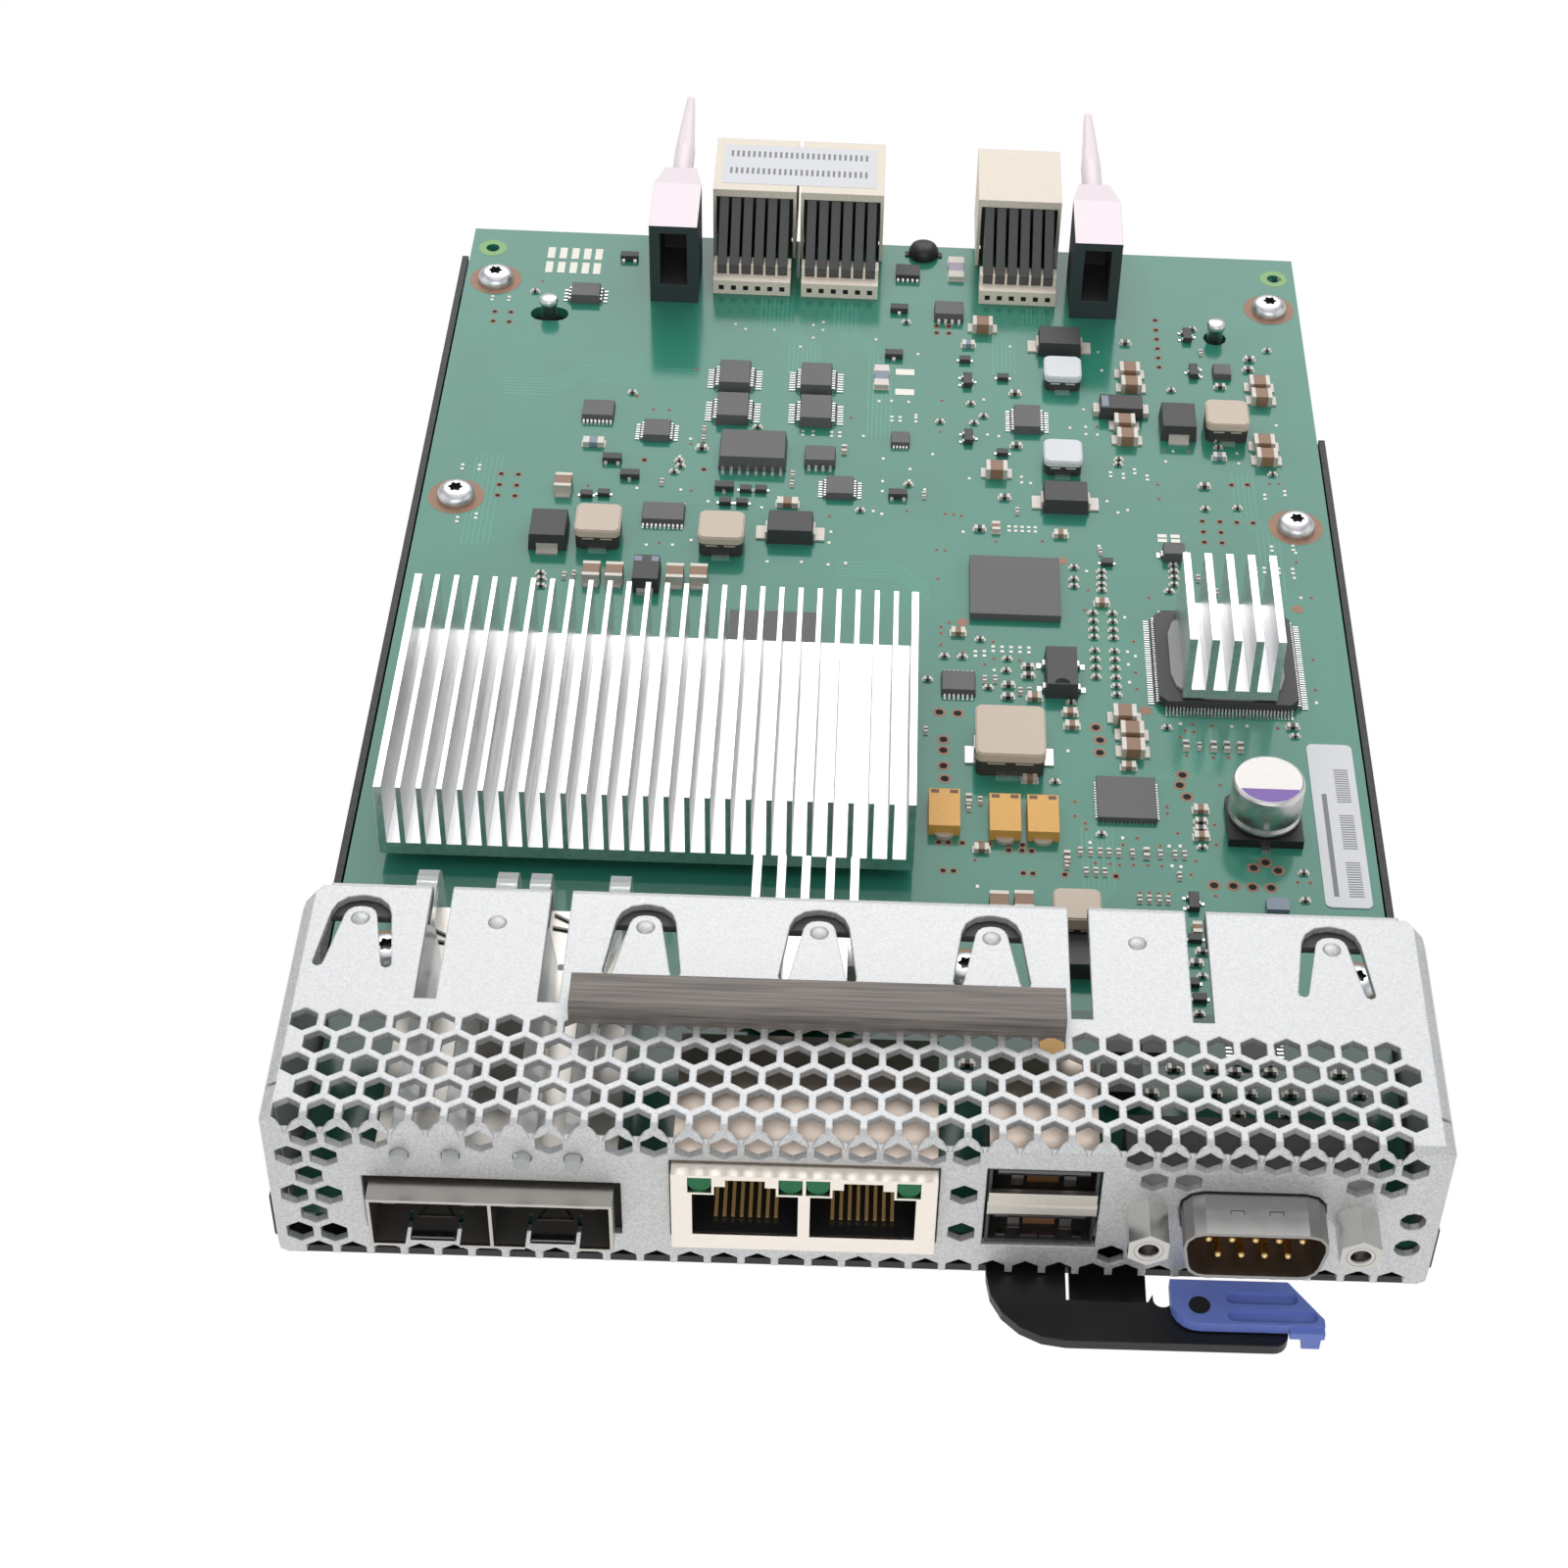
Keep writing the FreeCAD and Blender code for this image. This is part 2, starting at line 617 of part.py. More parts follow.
def nearest_column(row, x):
    return round((x - hex_x(row, 0)) / HEX_PITCH)


def top_vents():
    """Five honeycomb rows in the top flange, counted from the front fold."""
    vents = []
    for row in range(HEX_TOP_ROWS):
        for column in range(HEX_COLUMNS):
            centre = (hex_x(row, column), HEX_FIRST_Y + row * HEX_ROW, PLATE_TOP - 2 * SHEET)
            vents.append(hexagon(centre, HEX_FLATS, (0, 0, 4 * SHEET), (0, 1, 0)))
    return vents


def front_vent_columns():
    """Columns of each honeycomb row in the front wall; ports and light pipes take the others."""
    last = HEX_COLUMNS - 1
    jack_end = JACK_X + JACK_WIDTH / 2
    usb_end = USB_X + USB_WIDTH / 2
    beside_usb = nearest_column(1, (jack_end + usb_end - USB_WIDTH) / 2)
    below_nut = nearest_column(6, (usb_end + nut_places()[0] - NUT_FLATS / 2) / 2)
    over_jack = list(range(nearest_column(1, CAGE_X + CAGE_WIDTH / 2), beside_usb + 1))
    over_serial = list(range(nearest_column(1, usb_end + HEX_PITCH), HEX_COLUMNS))
    near = PIPE_TIP_RADIUS + PIPE_HOLE_GAP + PIPE_VENT_WEB + HEX_FLATS / 2
    rise = PIPE_DROP - HEX_FIRST_DROP
    clear_of_pipes = []
    for column in range(over_jack[0]):
        if all(math.hypot(hex_x(1, column) - x, rise) > near for x in pipe_front_places()):
            clear_of_pipes.append(column)
    return (
        clear_of_pipes + over_jack + over_serial,
        [0, 1, last - 7, last - 6, last - 1, last],
        [0, beside_usb],
        [0, 1],
        [0, beside_usb],
        [0, 1, below_nut],
        list(range(HEX_COLUMNS)),
    )


def front_vents():
    vents = []
    for step, columns in enumerate(front_vent_columns()):
        row = step + 1
        z = PLATE_TOP - HEX_FIRST_DROP - step * HEX_ROW
        for column in columns:
            vents.append(hexagon((hex_x(row, column), -SHEET, z), HEX_FLATS, (0, 3 * SHEET, 0), (0, 0, 1)))
    return vents


def port_cutouts():
    """Openings in the front wall, each from its connector's own size and a margin."""
    deep = 3 * SHEET
    cage_half = CAGE_WIDTH / 2 + CAGE_CUTOUT_MARGIN
    jack_half = JACK_WIDTH / 2 + PORT_MARGIN
    usb_half = USB_WIDTH / 2 + PORT_MARGIN
    low = BOARD_TOP - PORT_MARGIN
    cage_top = BOARD_TOP + CAGE_HEIGHT + CAGE_CUTOUT_MARGIN
    jack_top = BOARD_TOP + JACK_HEIGHT + PORT_MARGIN
    usb_top = BOARD_TOP + USB_HEIGHT + PORT_MARGIN
    cuts = [
        box(CAGE_X - cage_half, CAGE_X + cage_half, -SHEET, deep, low, cage_top),
        box(JACK_X - jack_half, JACK_X + jack_half, -SHEET, deep, low, jack_top),
        box(USB_X - usb_half, USB_X + usb_half, -SHEET, deep, low, usb_top),
        serial_outline(PORT_MARGIN, -SHEET, deep),
    ]
    holes = [(x, PIPE_DROP, PIPE_TIP_RADIUS + PIPE_HOLE_GAP) for x in pipe_front_places()]
    holes += [(ROUND_VENT_X, drop, ROUND_VENT_RADIUS) for drop in ROUND_VENT_DROPS]
    for x, drop, radius in holes:
        cuts.append(many_sided_bar(x, PLATE_TOP - drop, radius, -SHEET, deep, MANY_SIDES))
    return cuts


def flap_cuts():
    """Relief slits beside the front wall's returns, the low front edge and the cut rear corners."""
    half = PLATE_WIDTH / 2
    cuts = [box(-half - 1, half + 1, -1, RETURN_DEPTH + RELIEF_WIDTH, 0, PLATE_BOTTOM)]
    for side in (-1, 1):
        wall = side * half
        cuts.append(box(min(wall, wall - side * FOLD_RADIUS), max(wall, wall - side * FOLD_RADIUS),
                        RETURN_DEPTH, RETURN_DEPTH + RELIEF_WIDTH, 0, PLATE_TOP + 1))
        inside = wall - side * CORNER_CUT_X
        corner = [(wall + side, PLATE_DEPTH - CORNER_CUT_Y), (wall, PLATE_DEPTH - CORNER_CUT_Y),
                  (inside, PLATE_DEPTH), (inside, PLATE_DEPTH + 1), (wall + side, PLATE_DEPTH + 1)]
        cuts.append(sweep_z(corner, 0, PLATE_TOP + 1))
    return cuts


def slot_places():
    """Slots over the light pipes, beside the gasket and over the serial port."""
    beside_gasket = GASKET_RIGHT + GASKET_SLOT_GAP + SLOT_WIDTH / 2
    return [CAGE_X + x for x in PIPE_SLOT_OFFSETS] + [beside_gasket, SERIAL_X + SERIAL_SLOT_OFFSET]


def tongue_places():
    edge = PLATE_WIDTH / 2
    inner = [CAGE_X + CAGE_TONGUE_OFFSET, JACK_X + JACK_TONGUE_OFFSET, USB_X + USB_TONGUE_OFFSET]
    return [LEFT_TONGUE_INSET - edge] + inner + [edge - RIGHT_TONGUE_INSET]


def faceplate():
    sheet = folded_sheet().fuse(hem())
    slots = []
    for x in slot_places():
        slots.append(box(x - SLOT_WIDTH / 2, x + SLOT_WIDTH / 2, SLOT_FRONT, PLATE_DEPTH + 1,
                         PLATE_TOP - 4 * SHEET, PLATE_TOP + SHEET))
    tongues = [tongue_slot(x) for x in tongue_places()]
    sheet = sheet.cut(flap_cuts() + slots + tongues + port_cutouts())
    return sheet.cut(top_vents() + front_vents()).removeSplitter()


# Tray, standoffs, studs and screws
def tray_section(half, y0, y1, wall_top):
    """Channel with a rounded bend at the foot of each wall."""
    inner = TRAY_BEND - TRAY_WALL
    inside = half - TRAY_WALL
    corners = [(-half, wall_top, 0), (-half, 0, TRAY_BEND), (half, 0, TRAY_BEND), (half, wall_top, 0),
               (inside, wall_top, 0), (inside, TRAY_FLOOR, inner), (-inside, TRAY_FLOOR, inner),
               (-inside, wall_top, 0)]
    return sweep_y(soften(corners, BEND_STEPS), y0, y1)


def tray():
    half = TRAY_WIDTH / 2
    wall_top = BOARD_TOP - TRAY_WALL_UNDER_BOARD
    pan = tray_section(half, TRAY_FRONT, TRAY_REAR, wall_top)
    open_side = box(half - TRAY_BEND - TRAY_WALL, half + 1, TRAY_RIGHT_END, TRAY_REAR + 1,
                    TRAY_FLOOR, wall_top + 1)
    lip = box(half - TRAY_BEND, half + 1, TRAY_RIGHT_END, TRAY_REAR + 1, -1, TRAY_FLOOR)
    flat = half - TRAY_WALL - TRAY_BEND
    front_lip = box(-flat, flat, TRAY_LIP_FRONT, TRAY_FRONT + 1, 0, TRAY_FLOOR)
    tab = box(ARM_RIGHT + TAB_GAP, NOTCH_LEFT - TAB_GAP, -TAB_REACH, TRAY_FRONT + 1, 0, TRAY_FLOOR)
    return pan.cut([open_side, lip]).fuse([front_lip, tab]).removeSplitter()


def screw_places():
    rear_y = BOARD_REAR - REAR_SCREW_INSET
    places = [(side * REAR_SCREW_X, rear_y) for side in (-1, 1)]
    places += [(side * MID_SCREW_X, MID_SCREW_Y) for side in (-1, 1)]
    beside_cage = CAGE_X - CAGE_WIDTH / 2 - CAGE_SCREW_GAP - SCREW_HEAD_RADIUS
    front = (beside_cage, FRONT_SCREW_X, BOARD_WIDTH / 2 - FRONT_SCREW_SIDE_INSET)
    return places + [(x, FRONT_SCREW_Y) for x in front]


def stud_places():
    left, right = STUD_INSETS
    edge = BOARD_WIDTH / 2
    return [(left[0] - edge, BOARD_REAR - left[1]), (edge - right[0], BOARD_REAR - right[1])]


def standoff(x, y):
    """Hexagonal standoff welded to the tray floor and tapped for a screw."""
    body = hexagon((x, y, TRAY_FLOOR), STANDOFF_FLATS, (0, 0, BOARD_BOTTOM - TRAY_FLOOR), (0, 1, 0))
    bore_end = BOARD_TOP - SCREW_LENGTH - THREAD_GAP
    return body.cut(many_sided(x, y, SCREW_RADIUS + THREAD_GAP, bore_end, BOARD_BOTTOM + 1, SMALL_SIDES))


def board_screw(x, y):
    """Pan-head screw through the board into its standoff."""
    head = many_sided(x, y, SCREW_HEAD_RADIUS, BOARD_TOP, BOARD_TOP + SCREW_HEAD_HEIGHT, MANY_SIDES)
    shank = many_sided(x, y, SCREW_RADIUS, BOARD_TOP - SCREW_LENGTH, BOARD_TOP, SMALL_SIDES)
    return head.fuse(shank).removeSplitter()


def tray_stud(x, y):
    """Headed stud on the tray floor that stands through the board."""
    top = BOARD_TOP + STUD_RISE
    shank = many_sided(x, y, STUD_RADIUS, TRAY_FLOOR, top - STUD_HEAD_HEIGHT, SMALL_SIDES)
    head = many_sided(x, y, STUD_HEAD_RADIUS, top - STUD_HEAD_HEIGHT, top, MANY_SIDES)
    return shank.fuse(head).removeSplitter()


# Circuit board
def circuit_board():
    wide = BOARD_WIDTH / 2
    neck = BOARD_NECK_WIDTH / 2
    outline = [(-neck, BOARD_FRONT), (neck, BOARD_FRONT), (neck, BOARD_STEP), (wide, BOARD_STEP),
               (wide, BOARD_REAR), (-wide, BOARD_REAR), (-wide, BOARD_STEP), (-neck, BOARD_STEP)]
    board = sweep_z(outline, BOARD_BOTTOM, BOARD_TOP)
    low = BOARD_BOTTOM - 1
    high = BOARD_TOP + 1
    hole = SCREW_RADIUS + SCREW_HOLE_GAP
    holes = [many_sided(x, y, hole, low, high, SMALL_SIDES) for x, y in screw_places()]
    across = 2 * (STUD_HEAD_RADIUS + STUD_HOLE_GAP)
    for (x, y), length in zip(stud_places(), STUD_SLOT_LENGTHS):
        holes.append(soft_block(x, y, across + length, across, low, high, across * 0.49, ROUND_STEPS))
    for side in (-1, 1):
        holes.append(many_sided(side * TOOLING_HOLE_X, BOARD_REAR - TOOLING_HOLE_INSET, TOOLING_HOLE_RADIUS,
                                low, high, MANY_SIDES))
    return board.cut(holes).removeSplitter()


def emi_gasket():
    """Fabric-covered foam strip with a rounded top, stuck on the flange."""
    rear = GASKET_FRONT + GASKET_DEPTH
    top = PLATE_TOP + GASKET_HEIGHT
    corners = [(GASKET_FRONT, PLATE_TOP, 0), (rear, PLATE_TOP, 0), (rear, top, GASKET_ROUND),
               (GASKET_FRONT, top, GASKET_ROUND)]
    return sweep_x(soften(corners, ROUND_STEPS), GASKET_LEFT, GASKET_RIGHT)


# Pluggable module cage
def cage_port_centres():
    half_pitch = (CAGE_WIDTH - CAGE_WALL) / 4
    return (CAGE_X - half_pitch, CAGE_X + half_pitch)


def cage_port_width():
    return (CAGE_WIDTH - 3 * CAGE_WALL) / 2


def sfp_cage():
    """Sheet-metal cage with two ports, open floor over the sockets and a latch tab in each mouth."""
    top = BOARD_TOP + CAGE_HEIGHT
    cage = block(CAGE_X, (CAGE_FRONT + CAGE_REAR) / 2, CAGE_WIDTH, CAGE_REAR - CAGE_FRONT, BOARD_TOP, top)
    cuts = []
    for x in cage_port_centres():
        half = cage_port_width() / 2
        cuts.append(box(x - half, x + half, CAGE_FRONT - 1, CAGE_REAR - CAGE_WALL, BOARD_TOP + CAGE_WALL,
                        top - CAGE_WALL))
        cuts.append(box(x - half, x + half, CAGE_SOCKET_Y, CAGE_REAR - CAGE_WALL, BOARD_TOP - 1,
                        BOARD_TOP + 1))
        for side in (-1, 1):
            slit_x = x + side * (CAGE_TAB_WIDTH + CAGE_TAB_SLIT) / 2
            cuts.append(block(slit_x, CAGE_FRONT, CAGE_TAB_SLIT, 2 * CAGE_TAB_LENGTH, BOARD_TOP - 1,
                              BOARD_TOP + CAGE_WALL + 0.1))
        cuts.append(block(x, CAGE_FRONT, CAGE_TAB_WIDTH + CAGE_TAB_SLIT, 2 * CAGE_TAB_SET_BACK, BOARD_TOP - 1,
                          BOARD_TOP + CAGE_WALL + 0.1))
    return cage.cut(cuts).removeSplitter()


def sfp_seal():
    """Foam seal round three sides of the cage, behind the front wall."""
    half = CAGE_WIDTH / 2
    y0 = SHEET
    y1 = SHEET + CAGE_SEAL_DEPTH
    top = BOARD_TOP + CAGE_HEIGHT
    outer = box(CAGE_X - half - CAGE_SEAL_BORDER, CAGE_X + half + CAGE_SEAL_BORDER, y0, y1, BOARD_TOP,
                top + CAGE_SEAL_BORDER)
    return outer.cut(box(CAGE_X - half, CAGE_X + half, y0 - 1, y1 + 1, BOARD_TOP - 1, top))


def sfp_socket(x):
    """Edge socket at the back of one port, with the slot that takes the module's card edge."""
    y0 = CAGE_REAR - CAGE_WALL - SOCKET_DEPTH
    body = box(x - SOCKET_WIDTH / 2, x + SOCKET_WIDTH / 2, y0, CAGE_REAR - CAGE_WALL, BOARD_TOP,
               BOARD_TOP + SOCKET_HEIGHT)
    slot_z = BOARD_TOP + SOCKET_HEIGHT / 2
    slot = box(x - SOCKET_WIDTH / 2 + 1, x + SOCKET_WIDTH / 2 - 1, y0 - 1, y0 + SOCKET_DEPTH / 2,
               slot_z - SOCKET_SLOT / 2, slot_z + SOCKET_SLOT / 2)
    return body.cut(slot)


# Light pipes
def pipe_front_places():
    return [CAGE_X + pair + side * PIPE_FRONT_HALF for pair in PIPE_PAIR_OFFSETS for side in (-1, 1)]


def pipe_rear_places():
    return [CAGE_X + pair + side * PIPE_REAR_HALF for pair in PIPE_PAIR_OFFSETS for side in (-1, 1)]


def light_pipe(front_x, rear_x):
    """Clear bar with a round tip in the front wall, a sideways jog and an elbow down to its lamp."""
    mid_z = PLATE_TOP - PIPE_DROP
    low = mid_z - PIPE_HEIGHT / 2
    high = mid_z + PIPE_HEIGHT / 2
    half = PIPE_WIDTH / 2
    start = SHEET + PIPE_HOLE_GAP
    elbow_y = PIPE_REAR - PIPE_ELBOW
    plan = [(front_x - half, start), (front_x + half, start), (front_x + half, PIPE_JOG_START),
            (rear_x + half, PIPE_JOG_END), (rear_x + half, elbow_y), (rear_x - half, elbow_y),
            (rear_x - half, PIPE_JOG_END), (front_x - half, PIPE_JOG_START)]
    run = sweep_z(plan, low, high)
    foot = BOARD_TOP + LED_HEIGHT + LED_GAP
    inner_y = PIPE_REAR - PIPE_HEIGHT
    bend = [(elbow_y, low, 0), (elbow_y, high, 0), (PIPE_REAR, high, PIPE_ELBOW), (PIPE_REAR, foot, 0),
            (inner_y, foot, 0), (inner_y, low, PIPE_ELBOW - PIPE_HEIGHT)]
    elbow = sweep_x(soften(bend, ROUND_STEPS), rear_x - half, rear_x + half)
    tip = many_sided_bar(front_x, mid_z, PIPE_TIP_RADIUS, -PIPE_TIP_REACH, start, MANY_SIDES)
    return run.fuse([elbow, tip]).removeSplitter()


def indicator_lamp(x):
    y = PIPE_REAR - PIPE_HEIGHT / 2
    return block(x, y, PIPE_WIDTH - 0.6, PIPE_HEIGHT - 0.6, BOARD_TOP, BOARD_TOP + LED_HEIGHT)


# Twin network jack
def jack_port_centres():
    return (JACK_X - JACK_PORT_PITCH / 2, JACK_X + JACK_PORT_PITCH / 2)


def jack_port(x, y0, y1):
    """Stepped mouth of one port, swept from front to rear."""
    low = BOARD_TOP + JACK_PORT_BOTTOM
    mid = low + JACK_PORT_HEIGHT
    step = mid + JACK_STEP_HEIGHT
    high = step + JACK_NOTCH_HEIGHT
    half = JACK_PORT_WIDTH / 2
    step_half = JACK_STEP_WIDTH / 2
    notch_half = JACK_NOTCH_WIDTH / 2
    right = [(half, low), (half, mid), (step_half, mid), (step_half, step), (notch_half, step),
             (notch_half, high)]
    left = [(-dx, z) for dx, z in reversed(right)]
    return prism([(x + dx, y0, z) for dx, z in right + left], (0, y1 - y0, 0))


def jack_lamp_places():
    return [x + side * JACK_LAMP_OFFSET for x in jack_port_centres() for side in (-1, 1)]


def jack_lamp_window(x, y0, y1):
    top = BOARD_TOP + JACK_HEIGHT - JACK_SHELL
    half = JACK_LAMP_WIDTH / 2 + JACK_LAMP_GAP
    return box(x - half, x + half, y0, y1, top - JACK_LAMP_HEIGHT - 2 * JACK_LAMP_GAP, top)


def jack_box(inset, y0, y1):
    half = JACK_WIDTH / 2 - inset
    return box(JACK_X - half, JACK_X + half, y0, y1, BOARD_TOP, BOARD_TOP + JACK_HEIGHT - inset)


def rj45_shield():
    """Plated shield: front face with the port mouths and lamp windows, top, sides and back."""
    shield = jack_box(0, JACK_FRONT, JACK_REAR)
    cuts = [jack_box(JACK_SHELL, JACK_FRONT + JACK_SHELL, JACK_REAR - JACK_SHELL)]
    cuts += [jack_port(x, JACK_FRONT - 1, JACK_FRONT + 1) for x in jack_port_centres()]
    cuts += [jack_lamp_window(x, JACK_FRONT - 1, JACK_FRONT + 1) for x in jack_lamp_places()]
    return shield.cut(cuts).removeSplitter()


def rj45_housing():
    """Black moulding inside the shield, with both port cavities and the lamp pockets."""
    front = JACK_FRONT + JACK_SHELL
    housing = jack_box(JACK_SHELL, front, JACK_REAR - JACK_SHELL)
    cuts = [jack_port(x, front - 1, front + JACK_PORT_DEPTH) for x in jack_port_centres()]
    cuts += [jack_lamp_window(x, front - 1, front + JACK_LAMP_DEPTH) for x in jack_lamp_places()]
    return housing.cut(cuts).removeSplitter()


def rj45_lamp(x):
    """Lens with a round lower edge, set back a little in its window."""
    half = JACK_LAMP_WIDTH / 2
    top = BOARD_TOP + JACK_HEIGHT - JACK_SHELL - JACK_LAMP_GAP
    low = top - JACK_LAMP_HEIGHT
    r = half * 0.95
    corners = [(x - half, low, r), (x + half, low, r), (x + half, top, 0), (x - half, top, 0)]
    back = JACK_FRONT + JACK_SHELL + JACK_LAMP_DEPTH
    return sweep_y(soften(corners, ROUND_STEPS), JACK_FRONT + JACK_LAMP_RECESS, back)


def rj45_contacts():
    """Spring wires over the floor of each port, bent at the front and climbing to the back wall."""
    wires = []
    foot = BOARD_TOP + JACK_PORT_BOTTOM + JACK_CONTACT_FOOT
    start = JACK_FRONT + JACK_CONTACT_START
    back = JACK_FRONT + JACK_SHELL + JACK_PORT_DEPTH
    high = foot + JACK_CONTACT_CLIMB
    for centre in jack_port_centres():
        for k in range(JACK_CONTACTS):
            x = centre + (k - (JACK_CONTACTS - 1) / 2) * JACK_CONTACT_PITCH - JACK_CONTACT / 2
            side = [(x, start, foot), (x, back, high), (x, back, high + JACK_CONTACT),
                    (x, start, foot + JACK_CONTACT)]
            wires.append(prism(side, (JACK_CONTACT, 0, 0)))
    return group(wires)


# Stacked bus sockets
def usb_port_levels():
    """Lower and upper edge of each of the two mouths."""
    tall = (USB_HEIGHT - USB_BAND - 2 * USB_SHELL) / 2
    low = BOARD_TOP + USB_SHELL
    return ((low, low + tall), (low + tall + USB_BAND, low + 2 * tall + USB_BAND))


def usb_shell():
    """Plated shell with two mouths and the proud spring band between them."""
    half = USB_WIDTH / 2
    shell = box(USB_X - half, USB_X + half, USB_FRONT, USB_REAR, BOARD_TOP, BOARD_TOP + USB_HEIGHT)
    lower, upper = usb_port_levels()
    inside = half - USB_SHELL
    mouths = []
    for z0, z1 in (lower, upper):
        mouths.append(box(USB_X - inside, USB_X + inside, USB_FRONT - 1, USB_REAR - USB_SHELL, z0, z1))
    nose_y = USB_FRONT - USB_BAND_REACH
    nose_z0 = lower[1] + USB_BAND_INSET
    nose_z1 = upper[0] - USB_BAND_INSET
    round_nose = USB_BAND_REACH * 0.7
    corners = [(USB_FRONT, nose_z0, 0), (USB_FRONT, nose_z1, 0), (nose_y, nose_z1, round_nose),
               (nose_y, nose_z0, round_nose)]
    nose = sweep_x(soften(corners, ROUND_STEPS), USB_X - half, USB_X + half)
    return shell.cut(mouths).fuse(nose).removeSplitter()


def usb_tongues():
    """Contact boards hanging near the roof of each mouth, rooted in its back wall."""
    tongues = []
    back = USB_REAR - USB_SHELL
    half = USB_WIDTH / 2 - USB_SHELL
    for z0, z1 in usb_port_levels():
        top = z1 - USB_TONGUE_DROP
        tongue = box(USB_X - USB_TONGUE_WIDTH / 2, USB_X + USB_TONGUE_WIDTH / 2,
                     USB_FRONT + USB_TONGUE_SET_BACK, back, top - USB_TONGUE_THICKNESS, top)
        root = box(USB_X - half, USB_X + half, back - USB_ROOT, back, z0, z1)
        tongues.append(tongue.fuse(root).removeSplitter())
    return group(tongues)


def usb_contacts():
    strips = []
    for z0, z1 in usb_port_levels():
        under = z1 - USB_TONGUE_DROP - USB_TONGUE_THICKNESS
        for x in USB_CONTACT_PLACES:
            y0 = USB_FRONT + USB_TONGUE_SET_BACK + 0.8
            strips.append(box(USB_X + x - USB_CONTACT_WIDTH / 2, USB_X + x + USB_CONTACT_WIDTH / 2, y0,
                              y0 + USB_CONTACT_LENGTH, under - USB_CONTACT_THICKNESS, under))
    return group(strips)


# Serial port
def serial_outline(gap, y0, y1):
    """D-shaped prism, wider at the top, with rounded corners."""
    z = BOARD_TOP + SERIAL_RISE
    half_height = SERIAL_HEIGHT / 2 + gap
    lean = math.tan(math.radians(SERIAL_SLOPE)) * half_height
    top = SERIAL_WIDTH / 2 + gap
    low = top - 2 * lean
    r = SERIAL_CORNER + gap
    corners = [(SERIAL_X - top, z + half_height, r), (SERIAL_X + top, z + half_height, r),
               (SERIAL_X + low, z - half_height, r), (SERIAL_X - low, z - half_height, r)]
    return sweep_y(soften(corners, ROUND_STEPS), y0, y1)


def nut_places():
    return [SERIAL_X + side * NUT_SPACING / 2 for side in (-1, 1)]


def serial_shell():
    """Drawn metal shell with its flange behind the front wall."""
    z = BOARD_TOP + SERIAL_RISE
    back = SHEET + SERIAL_FLANGE
    flange = box(SERIAL_X - SERIAL_FLANGE_WIDTH / 2, SERIAL_X + SERIAL_FLANGE_WIDTH / 2, SHEET, back,
                 z - SERIAL_FLANGE_HEIGHT / 2, z + SERIAL_FLANGE_HEIGHT / 2)
    tube = serial_outline(0, -SERIAL_REACH, back)
    bore = serial_outline(-SERIAL_SHELL, -SERIAL_REACH - 1, back + 1)
    return flange.fuse(tube).cut(bore).removeSplitter()


def serial_insulator():
    """Brown moulding in the shell with the contact body behind the flange."""
    z = BOARD_TOP + SERIAL_RISE
    back = SHEET + SERIAL_FLANGE
    face = serial_outline(-SERIAL_SHELL - LINK_SLACK, -SERIAL_FACE, back)
    body = box(SERIAL_X - SERIAL_BODY_WIDTH / 2, SERIAL_X + SERIAL_BODY_WIDTH / 2,
               back, back + SERIAL_BODY_DEPTH, BOARD_TOP, z + SERIAL_FLANGE_HEIGHT / 2 - 1)
    return face.fuse(body).removeSplitter()


def serial_pin_places():
    z = BOARD_TOP + SERIAL_RISE
    top = [(SERIAL_X + k * SERIAL_PIN_PITCH, z + SERIAL_PIN_ROWS / 2) for k in (-2, -1, 0, 1, 2)]
    low = [(SERIAL_X + k * SERIAL_PIN_PITCH, z - SERIAL_PIN_ROWS / 2) for k in (-1.5, -0.5, 0.5, 1.5)]
    return top + low


def serial_pin(x, z):
    """Pin that stands on the insulator's face."""
    return many_sided_bar(x, z, SERIAL_PIN_RADIUS, -SERIAL_PIN_REACH, -SERIAL_FACE, SMALL_SIDES)


def jack_nut(x):
    """Hexagonal jack nut on the front wall with its tapped bore."""
    z = BOARD_TOP + SERIAL_RISE
    nut = hexagon((x, -NUT_LENGTH, z), NUT_FLATS, (0, NUT_LENGTH, 0), (0, 0, 1))
    return nut.cut(bar(x, z, NUT_BORE_RADIUS, -NUT_LENGTH - 1, -NUT_LENGTH + NUT_BORE_DEPTH))


# Heatsinks and their chips
def heatsink(left, front, width, depth, bottom, base, height, fins, fin, end_fin):
    """Extruded comb: a base plate with fins, the outer two as thick as end_fin."""
    points = [(left, bottom), (left + width, bottom)]
    comb = []
    pitch = (width - end_fin) / (fins - 1)
    for k in range(fins):
        thick = end_fin if k in (0, fins - 1) else fin
        middle = left + end_fin / 2 + k * pitch
        comb.append((middle - thick / 2, middle + thick / 2))
    for x0, x1 in reversed(comb):
        points += [(x1, bottom + base), (x1, bottom + height), (x0, bottom + height), (x0, bottom + base)]
    outline = [points[0], points[1]] + points[3:-1]
    return prism([(x, front, z) for x, z in outline], (0, depth, 0))


def large_heatsink():
    return heatsink(BIG_SINK_LEFT, BIG_SINK_FRONT, BIG_SINK_WIDTH, BIG_SINK_DEPTH,
                    BOARD_TOP + MAIN_CHIP_HEIGHT, BIG_SINK_BASE, BIG_SINK_HEIGHT, BIG_SINK_FINS,
                    BIG_FIN, BIG_END_FIN)


def main_chip():
    x = BIG_SINK_LEFT + BIG_SINK_WIDTH / 2
    y = BIG_SINK_FRONT + BIG_SINK_DEPTH / 2
    return block(x, y, MAIN_CHIP_SIDE, MAIN_CHIP_SIDE, BOARD_TOP, BOARD_TOP + MAIN_CHIP_HEIGHT)


